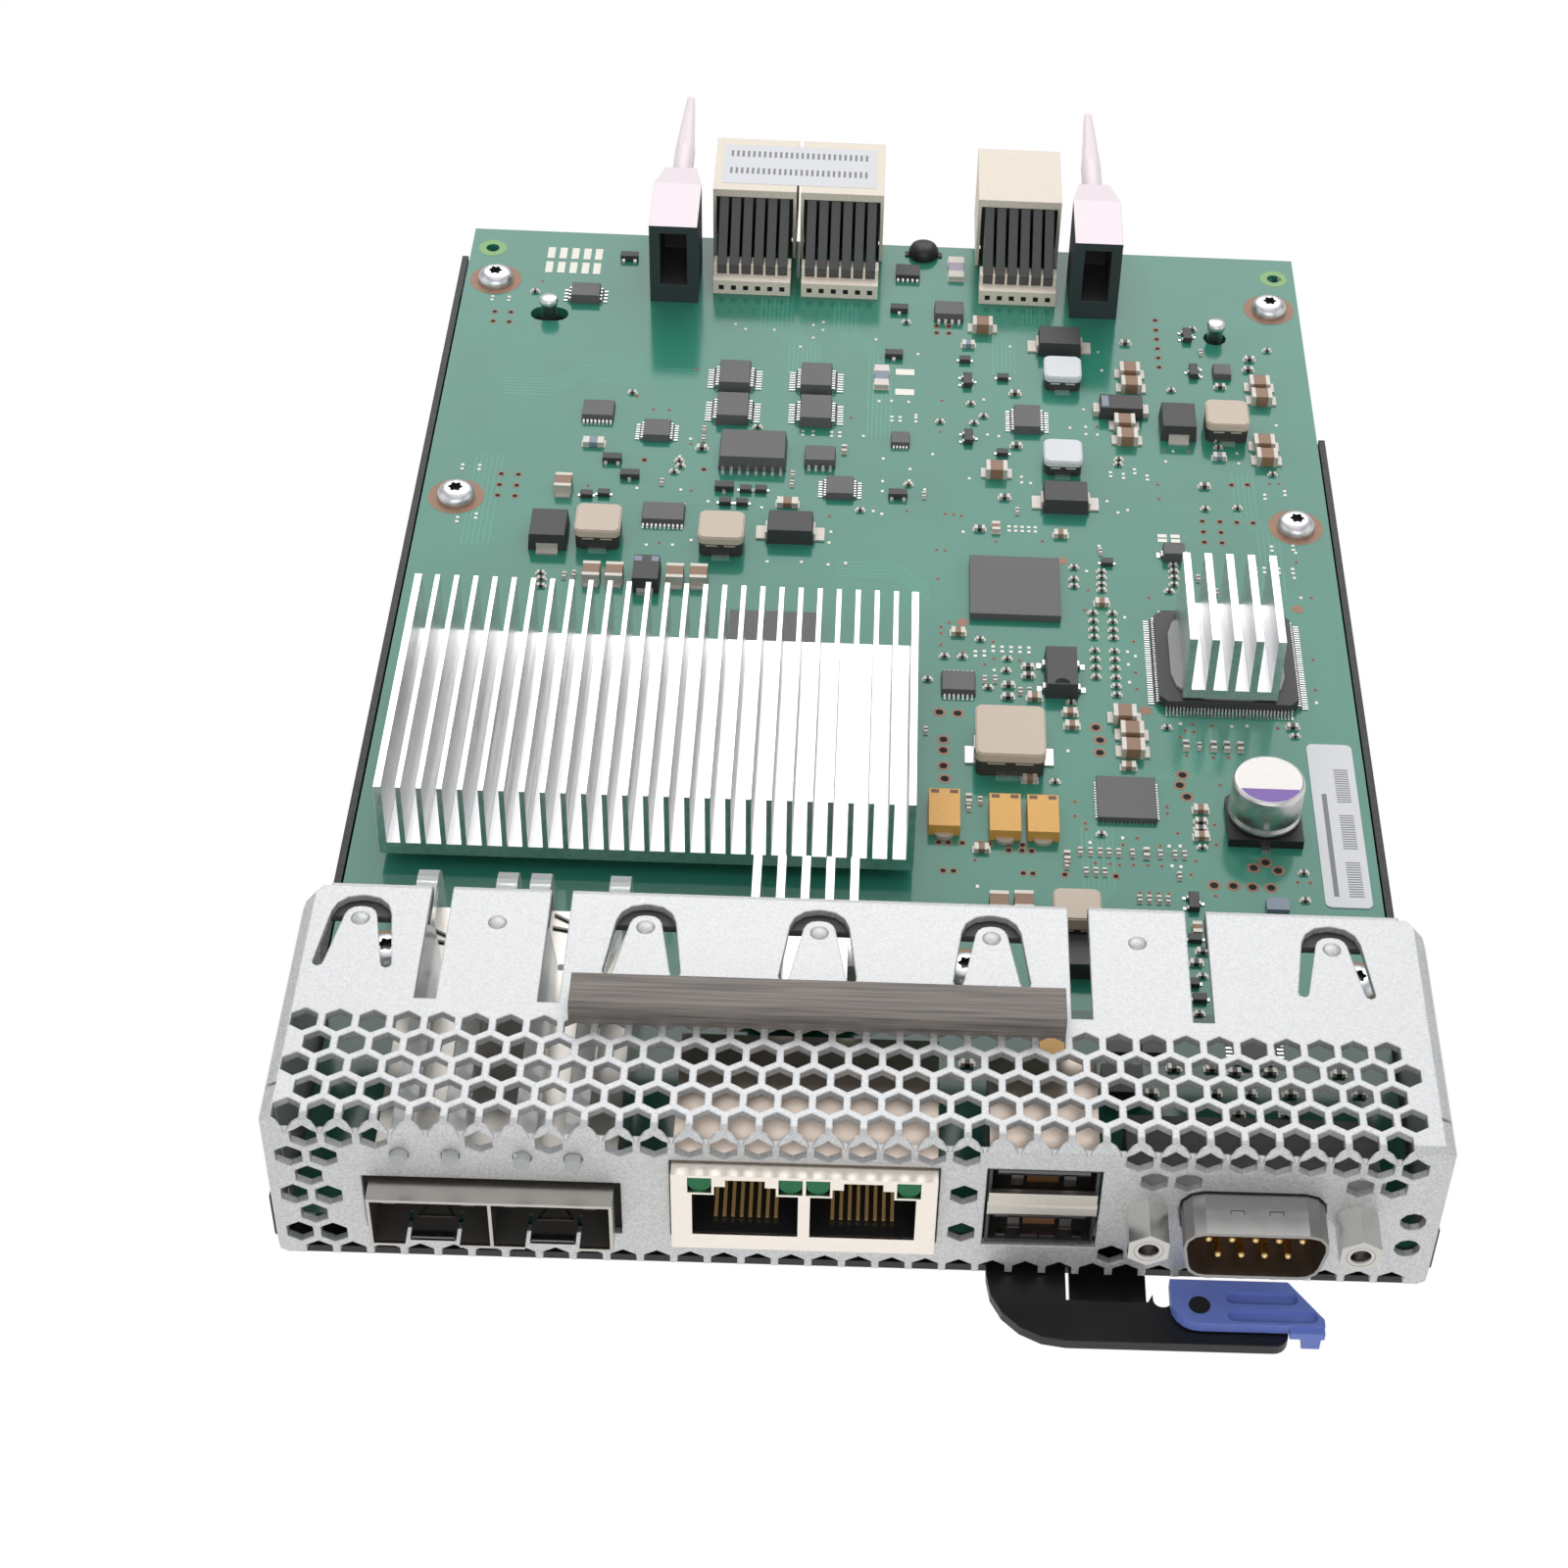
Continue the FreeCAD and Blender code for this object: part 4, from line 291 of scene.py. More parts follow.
def surface(name, colour, metallic=0.0, roughness=0.5, grain=1.0, specular=0.5, stretch=(1, 1, 1),
            tint=0.06, rough_spread=0.06, bump=0.0, rounding=0.0):
    """Material with a fine grain in its colour, gloss and height, and softened edges."""
    item, tree, shader = new_material(name, colour, metallic, roughness, specular)
    grey = noise(tree, grain, stretch)
    if tint:
        dark = tuple(c * (1 - tint) for c in colour)
        light = tuple(min(1, c * (1 + tint)) for c in colour)
        connect(tree, shader.inputs["Base Color"],
                blend_colours(tree, spread(tree, grey, 0, 1), dark, light))
    if rough_spread:
        connect(tree, shader.inputs["Roughness"],
                spread(tree, grey, roughness - rough_spread, roughness + rough_spread))
    normal = None
    if rounding:
        bevel = add_node(tree, "Bevel", {"Radius": rounding / MM}, samples=EDGE_SAMPLES)
        normal = bevel.outputs["Normal"]
    if bump:
        relief = add_node(tree, "Bump", {"Strength": BUMP_STRENGTH, "Distance": bump / MM,
                                         "Height": grey})
        if normal:
            connect(tree, relief.inputs["Normal"], normal)
        normal = relief.outputs["Normal"]
    if normal:
        connect(tree, shader.inputs["Normal"], normal)
    return item


def arithmetic(tree, operation, first, second):
    return add_node(tree, "Math", {0: first, 1: second}, operation=operation).outputs[0]


def lit_top_shaded_sides(item, colour, sides, limit):
    """Painted light and shade: upward faces take a light colour and the sides a dark one."""
    tree = item.node_tree
    normal = add_node(tree, "NewGeometry", {}).outputs["True Normal"]
    split = add_node(tree, "SeparateXYZ", {"Vector": normal})
    upward = arithmetic(tree, "GREATER_THAN", split.outputs["Z"], limit)
    connect(tree, tree.nodes["Principled BSDF"].inputs["Base Color"],
            blend_colours(tree, upward, sides, colour))
    return item


def current(entry):
    """What an input has now: the output linked to it, or its constant."""
    return entry.links[0].from_socket if entry.is_linked else entry.default_value


def box_recolour(item, boxes, colour, plain=True):
    """Give what lies inside some boxes, each two corners in the millimetre layout, another colour.
    Most boxes hold painted shade and one holds painted light. A plain recolouring isn't metal."""
    tree = item.node_tree
    shader = tree.nodes["Principled BSDF"]
    base, metal = shader.inputs["Base Color"], shader.inputs["Metallic"]
    place = add_node(tree, "TexCoord", {}).outputs["Object"]
    for low, high in boxes:
        low, high = Vector(to_frame(low)), Vector(to_frame(high))
        shift = add_node(tree, "VectorMath", {0: place, 1: (low + high) / 2}, operation="SUBTRACT")
        split = add_node(tree, "SeparateXYZ", {"Vector": shift.outputs["Vector"]})
        factor = None
        for axis in range(3):
            away = arithmetic(tree, "POWER", split.outputs[axis], 2)
            near = arithmetic(tree, "LESS_THAN", away, ((high[axis] - low[axis]) / 2) ** 2)
            factor = near if factor is None else arithmetic(tree, "MULTIPLY", factor, near)
        before = current(base)
        if not base.is_linked:
            before = tuple(before)[:3]
        connect(tree, base, blend_colours(tree, factor, before, colour))
        if plain:
            outside = arithmetic(tree, "LESS_THAN", factor, 0.5)
            connect(tree, metal, arithmetic(tree, "MULTIPLY", outside, current(metal)))
    return item


def glowing(item, colour, strength):
    """Painted light: a faint glow that lifts a part, such as one deep in a port, out of the dark.
    """
    shader = item.node_tree.nodes["Principled BSDF"]
    socket(shader, "Emission Color", (*colour, 1))
    socket(shader, "Emission Strength", strength)
    return item


def by_ray(tree, rays, first, second, output):
    """Show the second shader to the named kinds of ray and the first to all others."""
    path = add_node(tree, "LightPath", {})
    seen = path.outputs[rays[0]]
    for ray in rays[1:]:
        seen = arithmetic(tree, "MAXIMUM", seen, path.outputs[ray])
    mix = add_node(tree, "MixShader", {0: seen, 1: first.outputs[0], 2: second.outputs[0]})
    connect(tree, tree.nodes[output].inputs[0], mix.outputs[0])


class CardColours(bpy.types.PropertyGroup):
    zinc: FloatVectorProperty(name="Zinc", description="Faceplate sheet", subtype="COLOR",
                              default=(0.665, 0.666, 0.665))
    mask: FloatVectorProperty(name="Solder mask", description="Board surface", subtype="COLOR",
                              default=(0.036, 0.226, 0.154))
    paint: FloatVectorProperty(name="Paint", description="Tray and lever", subtype="COLOR",
                               default=(0.006, 0.006, 0.007))
    chip: FloatVectorProperty(name="Chip", description="Moulded packages", subtype="COLOR",
                              default=(0.115, 0.113, 0.113))
    latch: FloatVectorProperty(name="Latch", description="Thumb latch", subtype="COLOR",
                               default=(0.16, 0.23, 0.64))
    ivory: FloatVectorProperty(name="Ivory", description="Backplane housings", subtype="COLOR",
                               default=(0.85, 0.76, 0.64))
    solder: FloatVectorProperty(name="Solder", description="Leads, pads and terminals",
                                subtype="COLOR", default=(0.60, 0.59, 0.57))
    copper: FloatVectorProperty(name="Copper", description="Screw pads and large vias",
                                subtype="COLOR", default=(0.30, 0.165, 0.10))


class CardSizes(bpy.types.PropertyGroup):
    dimple_radius: FloatProperty(name="Dimple radius", default=1.4, min=0.5, max=3,
                                 description="Dimples on the spring tongues, millimetres")
    dimple_height: FloatProperty(name="Dimple height", default=0.3, min=0.1, max=1,
                                 description="Rise of each dimple, millimetres")
    via_radius: FloatProperty(name="Via radius", default=0.8, min=0.3, max=1.5,
                              description="Large plated holes, millimetres")
    pad_rise: FloatProperty(name="Pad rise", default=0.06, min=0.01, max=0.2,
                            description="Height of solder pads, millimetres")
    screw_pad: FloatProperty(name="Screw pad", default=4.25, min=3, max=6,
                             description="Radius of the bare ring under a screw, millimetres")


class CardStage(bpy.types.PropertyGroup):
    camera_place: FloatVectorProperty(
        name="Camera place", description="Where the camera stands", subtype="TRANSLATION",
        unit="LENGTH", default=(-0.002632, -0.332046, 0.299990))
    camera_turn: FloatVectorProperty(
        name="Camera turn", description="Camera angles", subtype="EULER", unit="ROTATION",
        default=(math.radians(46.55675), math.radians(-2.75328), math.radians(-0.03083)))
    lens: FloatProperty(name="Lens", description="Focal length in millimetres", default=70.2990,
                        min=20, max=200)
    back_light: FloatProperty(name="Back light", default=4.9, min=0, max=500,
                              description="Power of the large panel behind the card, watts")
    top_light: FloatProperty(name="Top light", default=0.9, min=0, max=500,
                             description="Power of the panel overhead, watts")
    front_light: FloatProperty(name="Front light", default=2.4, min=0, max=500,
                               description="Power of the panel over the camera, watts")
    side_light: FloatProperty(name="Side light", default=0.8, min=0, max=500,
                              description="Power of each panel at the sides, watts")


# Finishes that need no recoloured boxes: finish, material, colour, metallic, roughness, grain and
# the rest
PLAIN_FINISHES = (
    ("steel", "bright_steel", (0.82, 0.82, 0.83), 1.0, 0.38, 3.0, {}),
    ("cloth", "gasket_cloth", (0.22, 0.195, 0.175), 0.2, 0.65, 1.0,
     {"stretch": (0.08, 2.5, 2.5), "tint": 0.35, "bump": 0.08}),
    ("shell", "serial_metal", (0.34, 0.333, 0.325), 1.0, 0.36, 0.8,
     {"tint": 0.02, "rough_spread": 0.02, "rounding": 0.1}),
    ("foam", "seal_foam", (0.02, 0.02, 0.02), 0, 0.9, 4.0, {"bump": 0.05}),
    ("wafer", "wafer_plastic", (0.065, 0.064, 0.063), 0, 0.38, 3.0,
     {"specular": 0.7, "rounding": 0.2}),
    ("black", "black_plastic", (0.015, 0.015, 0.016), 0, 0.45, 3.0,
     {"bump": 0.01, "rounding": 0.1}),
    ("lamp_white", "lamp_white", (0.85, 0.84, 0.72), 0, 0.3, 3.0, {}),
    ("gold", "contact_gold", (0.83, 0.58, 0.25), 1.0, 0.25, 3.0, {}),
    ("sink", "sink_metal", (0.86, 0.86, 0.865), 1.0, 0.34, 1.2,
     {"stretch": (1, 0.03, 1), "tint": 0.08, "bump": 0.01, "rounding": 0.1}),
    ("glue", "adhesive", (0.34, 0.34, 0.33), 0, 0.45, 1.0, {}),
    ("can", "can_metal", (0.80, 0.79, 0.77), 1.0, 0.36, 1.5, {}),
    ("purple", "can_stripe", (0.20, 0.10, 0.42), 0, 0.4, 3.0, {}),
    ("can_top", "can_top", (0.72, 0.69, 0.655), 0.3, 0.4, 1.5, {}),
    ("tantalum", "tantalum_yellow", (0.80, 0.42, 0.09), 0, 0.45, 3.0, {"rounding": 0.15}),
    ("beige", "choke_beige", (0.655, 0.545, 0.435), 0, 0.55, 5.0, {"tint": 0.03, "rounding": 0.15}),
    ("white_choke", "choke_white", (0.76, 0.78, 0.80), 0, 0.5, 4.0,
     {"tint": 0.02, "rounding": 0.15}),
    ("choke_body", "choke_body", (0.05, 0.046, 0.042), 0, 0.55, 5.0, {}),
    ("tan", "ceramic_tan", (0.30, 0.17, 0.10), 0, 0.45, 3.0, {"rounding": 0.1}),
    ("label", "label_white", (0.71, 0.715, 0.73), 0, 0.4, 1.0, {"tint": 0.02}),
    ("stripe", "label_stripe", (0.22, 0.22, 0.23), 0, 0.5, 2.0, {}),
    ("pin_black", "pin_black", (0.02, 0.02, 0.022), 0.3, 0.4, 3.0, {}),
    ("pad", "bare_pad", (0.58, 0.56, 0.50), 0.6, 0.4, 3.0, {}),
    ("ends", "chip_ends", (0.62, 0.58, 0.52), 0.25, 0.42, 3.0, {}),
    ("resistor", "resistor_film", (0.04, 0.036, 0.032), 0, 0.35, 4.0, {}),
    # Painted shade: near black for the inside of holes, notches and gaps drawn flat.
    ("hole", "hole_dark", (0.006, 0.008, 0.007), 0, 0.8, 2.0, {}),
    ("blue_grey", "blue_grey_part", (0.22, 0.27, 0.34), 0, 0.4, 3.0, {}),
    ("lilac", "lilac_part", (0.42, 0.36, 0.46), 0, 0.4, 3.0, {}),
    # Brown print on the tantalums, and painted shade on gold contacts in the bus sockets.
    ("mark_brown", "mark_brown", (0.16, 0.075, 0.03), 0, 0.5, 3.0, {}),
    ("spring", "spring_metal", (0.64, 0.60, 0.53), 1.0, 0.35, 2.0, {}),
    # Painted shade: darker metal for screw recesses, nut mouths, pressed marks, slits and tabs
    # inside the ports.
    ("dark_spring", "dark_spring", (0.16, 0.155, 0.15), 1.0, 0.4, 2.0, {}),
    ("bare_edge", "bare_edge", (0.20, 0.42, 0.12), 0, 0.3, 2.0, {}),
)
SHIELD = {"metallic": 1.0, "roughness": 0.3, "grain": 0.8, "tint": 0.02, "rough_spread": 0.02,
          "rounding": 0.1}
PLATED = (0.56, 0.53, 0.49)
SHADED_SHELL_TOP = (0.43, 0.36, 0.31)
CONTACT = (0.83, 0.58, 0.25)

# Boxes that take another colour, in the millimetre layout: painted shade in hollows, inside ports
# and under the faceplate, painted light on the nuts' front faces, and the insulator's darker body
# behind the faceplate
PLATE_INSIDE_SHADE = ((-68.4, 1.02, 2), (68.4, 60, PLATE_TOP - 1.02))
BOARD_SHADE_UNDER_PLATE = ((-70, -2, 7), (70, 38, 9.2))
CAGE_INSIDE_SHADE = ((-57.2, -2.6, 8.8), (-29.0, 44.4, 17.1))
USB_INSIDE_SHADE = (((15, 0.3, 8), (28.2, 18.2, 14.1)), ((15, 0.3, 17), (28.2, 17.9, 22.45)))
INSULATOR_INSIDE = ((30, 0.2, 8), (63, 30, 24))
NUT_FACES_PAINTED_LIGHT = ((30, -5.7, 8), (63, -5.5, 24))
GUIDE_POCKET_SHADE = [((x - 2.3, 190, 12.2), (x + 2.3, 204, 22.3)) for x in (-34.5, 34.6)]

FINISHES = {}


def top_sheet(node, left, right):
    """Box round the top sheet of a port's shell, which takes painted shade under the faceplate."""
    top = node_box(node)[1][2]
    return ((left, 1.2, top - 0.05), (right, 24, top + 0.1))


def make_finishes():
    colours = bpy.context.scene.card_colours
    chip, mask_green = tuple(colours.chip), tuple(colours.mask)
    for key, name, colour, metallic, roughness, grain, rest in PLAIN_FINISHES:
        FINISHES[key] = surface(name, colour, metallic, roughness, grain, **rest)

    plate = surface("zinc_sheet", tuple(colours.zinc), 0.85, 0.58, 3.4, tint=0.15,
                    rough_spread=0.05, bump=0.012, rounding=0.3)
    mask = surface("solder_mask", mask_green, 0, 0.13, 0.05, 0.55, tint=0.08, rough_spread=0.02)
    trace = tuple(c * 1.3 for c in mask_green)
    dark_chip = tuple(c * 0.45 for c in chip)
    moulded = {"bump": 0.01, "rounding": 0.12}
    FINISHES.update({
        # Painted shade: the faceplate's inner faces are dark grey and not metal.
        "zinc": box_recolour(plate, [PLATE_INSIDE_SHADE], (0.10, 0.10, 0.10)),
        "paint": surface("black_paint", tuple(colours.paint), 0, 0.45, 2.0, bump=0.02,
                         rounding=0.2),
        # Painted shade: the solder mask under the faceplate is darkened.
        "mask": box_recolour(mask, [BOARD_SHADE_UNDER_PLATE], tuple(c * 0.4 for c in mask_green)),
        "trace": surface("mask_over_trace", trace, 0, 0.15, 0.05, 0.55, rough_spread=0.02),
        "chip": surface("chip_black", chip, 0, 0.5, 6.0, **moulded),
        "chip_dark": surface("chip_dark", dark_chip, 0, 0.5, 6.0, **moulded),
        "ivory": surface("ivory_plastic", tuple(colours.ivory), 0, 0.5, 2.0, tint=0.04,
                         rounding=0.15),
        "latch": surface("latch_blue", tuple(colours.latch), 0, 0.42, 4.0, bump=0.01, rounding=0.2),
        "solder": surface("solder", tuple(colours.solder), 1.0, 0.28, 3.0),
        "copper": surface("bare_copper", tuple(colours.copper), 0.2, 0.45, 1.0, tint=0.15),
    })

    cage = surface("cage_metal", PLATED, **SHIELD)
    # Painted shade inside the bus sockets' mouths.
    usb = box_recolour(surface("usb_metal", PLATED, **SHIELD), USB_INSIDE_SHADE, (0.03, 0.03, 0.03))
    # Painted reflection: the jack's shield is a brighter copy of the port metal, for the bright
    # floor it faces.
    jack = surface("jack_metal", (0.92, 0.85, 0.765), **SHIELD)
    brown = surface("insulator_brown", (0.13, 0.055, 0.02), 0, 0.4, 2.0)
    nickel = surface("nickel", (0.74, 0.72, 0.68), 1.0, 0.25, 3.0, tint=0.02, rough_spread=0.02)
    cast = surface("cast_guide", (0.2, 0.22, 0.23), 0.1, 0.5, 1.5, tint=0, rounding=0.2)
    # Painted light: a near-white top over dark sides on the guide modules.
    lit_top_shaded_sides(cast, (0.90, 0.79, 0.83), (0.04, 0.055, 0.057), 0.1)
    lamp = surface("lamp_green", (0.002, 0.13, 0.045), 0, 0.25, 3.0, 0.3)
    wire = surface("contact_wire", CONTACT, 1.0, 0.3, 3.0)
    clear, _, shader = new_material("clear_plastic", (0.93, 0.95, 0.94), 0, 0.06)
    socket(shader, "Transmission Weight", 0.6)
    socket(shader, "IOR", 1.49)
    FINISHES.update({
        # Painted shade inside the module cage's ports.
        "cage": box_recolour(cage, [CAGE_INSIDE_SHADE], (0.072, 0.067, 0.061)),
        # Painted shade on the shells' top sheets under the faceplate; they stay metal.
        "usb": box_recolour(usb, [top_sheet("usb_shell", 13, 30)], SHADED_SHELL_TOP, False),
        "jack": box_recolour(jack, [top_sheet("rj45_shield", -23, 10)], SHADED_SHELL_TOP, False),
        "brown": box_recolour(brown, [INSULATOR_INSIDE], (0.012, 0.012, 0.012)),
        # Painted light: the nuts' front faces are a light non-metal colour.
        "nickel": box_recolour(nickel, [NUT_FACES_PAINTED_LIGHT], (0.74, 0.71, 0.66)),
        # Painted shade in the guide modules' pockets.
        "cast": box_recolour(cast, GUIDE_POCKET_SHADE, (0.05, 0.05, 0.05)),
        # Painted light: the lamps and the port contacts glow faintly.
        "lamp_green": glowing(lamp, (0, 0.2, 0.07), 0.1),
        "wire": glowing(wire, (0.8, 0.5, 0.2), 0.15),
        "clear": clear,
    })


NODE_FINISH = {
    "zinc": ("faceplate",),
    "paint": ("tray", "lever"),
    "steel": ("board_standoffs", "board_screws", "tray_studs"),
    "mask": ("circuit_board",),
    "cloth": ("emi_gasket",),
    "cage": ("sfp_cage",),
    "jack": ("rj45_shield",),
    "usb": ("usb_shell",),
    "shell": ("serial_shell",),
    "foam": ("sfp_seal",),
    "black": ("sfp_sockets", "rj45_housing", "usb_tongues", "capacitor_base"),
    "clear": ("light_pipes",),
    "lamp_white": ("indicator_lamps",),
    "lamp_green": ("rj45_lamps",),
    "wafer": ("backplane_wafers",),
    "wire": ("rj45_contacts", "usb_contacts"),
    "gold": ("serial_pins",),
    "brown": ("serial_insulator",),
    "nickel": ("serial_jack_nuts",),
    "cast": ("guide_module_left", "guide_module_right"),
    "sink": ("large_heatsink", "small_heatsink", "port_heatsink"),
    "glue": ("small_heatsink_adhesive", "port_heatsink_adhesive"),
    "chip": ("main_chip", "ball_grid_chip", "flat_no_lead_chip", "rear_chip", "small_chips"),
    "chip_dark": ("quad_flat_chip", "port_chip", "isolator", "power_diodes", "dark_tantalums"),
    "can": ("capacitor_can",),
    "ivory": ("backplane_organisers", "backplane_housings"),
    "tantalum": ("tantalum_capacitors",),
    "beige": ("large_choke", "power_chokes"),
    "white_choke": ("white_chokes",),
    "tan": ("ceramic_capacitors",),
    "label": ("board_label",),
    "latch": ("latch",),
    "pin_black": ("lever_pivot", "latch_pin"),
}


class CARD_OT_finishes(bpy.types.Operator):
    """Give every CAD node its finish"""
    bl_idname = "card.finishes"
    bl_label = "Finishes"

    def execute(self, context):
        make_finishes()
        for name, nodes in NODE_FINISH.items():
            for node in nodes:
                data = NODES[node].data
                data.materials.clear()
                data.materials.append(FINISHES[name])
        bare = [n for n, o in NODES.items() if not o.data.materials]
        if bare:
            raise RuntimeError("nodes without a finish: " + ", ".join(bare))
        return {"FINISHED"}


# Places on the board, as X and Y
SCREWS = (
    (-64.2, 197.2), (64.2, 197.2), (-64.0, 139.3), (64.0, 139.3), (-61.7, 44.0), (13.1, 44.0),
    (64.1, 44.0))
STUDS = ((-54.5, 188.0), (54.6, 188.4))
DIMPLES = (-62.0, -45.3, -27.2, -5.9, 15.3, 33.3, 57.4)
DIMPLE_Y = 32.5

# Chip parts: length, width and height
CHIP_SIZES = {"0402": (1.1, 0.6, 0.5), "0603": (1.6, 0.85, 0.65), "0805": (2.0, 1.25, 0.8),
              "1206": (3.2, 1.6, 0.9), "filter": (5.5, 2.3, 0.9), "fuse": (6.0, 2.6, 0.9)}
ROW_Y = (117.2, 115.3, 113.4, 111.7, 108.7, 106.8, 104.9, 102.9)
ACROSS_0402 = [(32.1, y) for y in ROW_Y] + [(34.95, y) for y in ROW_Y + (101.0, 99.2)] + [
    (15.4, 110.3), (10.2, 106.3), (12.8, 106.3), (19.3, 106.2), (19.1, 103.6), (7.8, 101.1),
    (16.5, 99.8), (28.3, 97.2), (29.6, 127.6), (29.5, 124.8), (29.5, 123.2), (33.7, 126.8),
    (33.7, 125.4), (33.6, 123.8), (33.6, 122.5), (44.6, 128.9), (44.6, 127.5), (44.6, 126.0),
    (44.5, 124.4), (43.7, 122.8), (25.6, 80.6), (31.7, 70.5), (45.4, 68.6), (58.9, 64.3),
    (58.7, 59.1), (41.8, 92.6), (60.0, 91.7), (9.4, 162.6), (14.3, 167.7), (16.3, 164.5),
    (14.8, 162.6), (-39.4, 167.2), (-57.4, 194.0), (-30.9, 150.0), (-30.6, 148.7), (-31.5, 147.2),
    (-19.2, 159.3), (4.6, 146.2), (-2.7, 139.4), (46.6, 173.3), (63.0, 185.3), (51.0, 190.5),
    (50.3, 142.9), (55.3, 143.4), (61.4, 152.2), (-49.5, 121.7), (-49.3, 120.4), (-49.2, 118.8),
    (37.4, 154.5), (37.3, 153.3), (53.4, 160.4), (53.3, 158.6), (3.8, 189.4), (44.0, 44.6),
    (43.2, 38.0)]
ALONG_0402 = [(x, 67.0) for x in (28.7, 30.1, 31.4, 32.6, 33.9, 35.8, 39.6, 41.6, 42.9)] + [
    (x, 63.2) for x in (29.4, 30.7, 31.9)] + [(x, 58.3) for x in (36.4, 37.7, 39.0, 40.2)] + [
    (-27.5, 158.2), (-27.5, 155.9), (-33.2, 144.5), (-13.3, 147.6), (-13.3, 145.3), (7.0, 143.6),
    (21.3, 140.6), (33.7, 131.5), (16.0, 101.5), (17.5, 101.6), (21.1, 99.2), (22.4, 99.3),
    (7.6, 90.2), (13.6, 74.9), (15.2, 76.3), (26.8, 64.3), (42.0, 62.9), (46.2, 88.9),
    (48.2, 126.0), (50.7, 122.9), (-46.0, 121.3), (-44.6, 121.7), (52.0, 184.0)]
ACROSS_0603 = (
    (-27.6, 153.4), (22.3, 104.5), (22.3, 102.6), (19.4, 100.4), (19.3, 97.9), (21.4, 170.8),
    (21.4, 157.0), (19.4, 143.8), (15.5, 135.9), (39.7, 185.8), (54.6, 174.7), (59.9, 182.6),
    (59.5, 179.7), (50.5, 148.5), (45.5, 73.6), (45.4, 72.1), (59.8, 93.6), (44.3, 49.0),
    (43.3, 46.9), (39.4, 28.5), (44.2, 28.6), (47.1, 28.2), (51.6, 28.4), (60.4, 28.4),
    (36.3, 24.2), (44.3, 24.5), (48.7, 24.6), (53.9, 24.8), (62.7, 25.1), (13.2, 28.2),
    (47.0, 21.2), (53.2, 21.4))
ALONG_0603 = (
    (-5.5, 154.3), (13.6, 76.4), (26.9, 65.9), (37.7, 67.0), (44.3, 88.9), (48.2, 88.9),
    (50.1, 88.9), (52.0, 88.9))
TAN_ACROSS = (
    (12.2, 111.6), (23.1, 97.9), (28.1, 94.9), (28.3, 92.2), (33.5, 119.4), (27.8, 135.2),
    (22.1, 80.8), (15.3, 66.8), (36.0, 84.1), (45.6, 75.9), (45.4, 70.6))
TAN_ALONG = ((18.0, 136.2), (43.8, 53.0))

# Small three-lead parts: place, then leads at the front, back, left and right
SMALL_TRANSISTORS = (
    (2.6, 192.7, 1, 2, 0, 0), (1.9, 179.8, 1, 2, 0, 0), (-23.6, 143.6, 1, 2, 0, 0),
    (-38.2, 145.7, 1, 2, 0, 0), (3.0, 143.3, 2, 1, 0, 0), (-42.7, 204.8, 2, 1, 0, 0),
    (13.8, 173.5, 0, 0, 2, 1), (13.9, 158.5, 0, 0, 2, 1), (50.0, 188.3, 0, 0, 2, 1),
    (50.5, 178.3, 0, 0, 1, 2), (-41.2, 149.6, 2, 2, 0, 0), (43.6, 57.8, 0, 0, 2, 1))
TINY_BODIES = (
    (-20.3, 143.3), (-18.0, 143.4), (-23.3, 140.0), (-20.7, 140.0), (-44.4, 140.6), (-41.8, 141.0),
    (13.4, 179.3), (19.5, 174.8), (19.2, 154.9), (34.6, 128.8), (43.4, 51.2), (42.6, 43.2),
    (43.4, 40.5))

# Packages under the vents: X, Y, width, depth, height
VENT_BODIES = (
    (49.9, 31.6, 4.4, 5.0, 1.0), (32.6, 31.6, 3.2, 3.0, 1.1), (37.0, 31.7, 3.2, 3.0, 1.1),
    (32.6, 25.1, 5.2, 4.6, 1.9), (28.2, 46.2, 7.0, 5.4, 2.8))

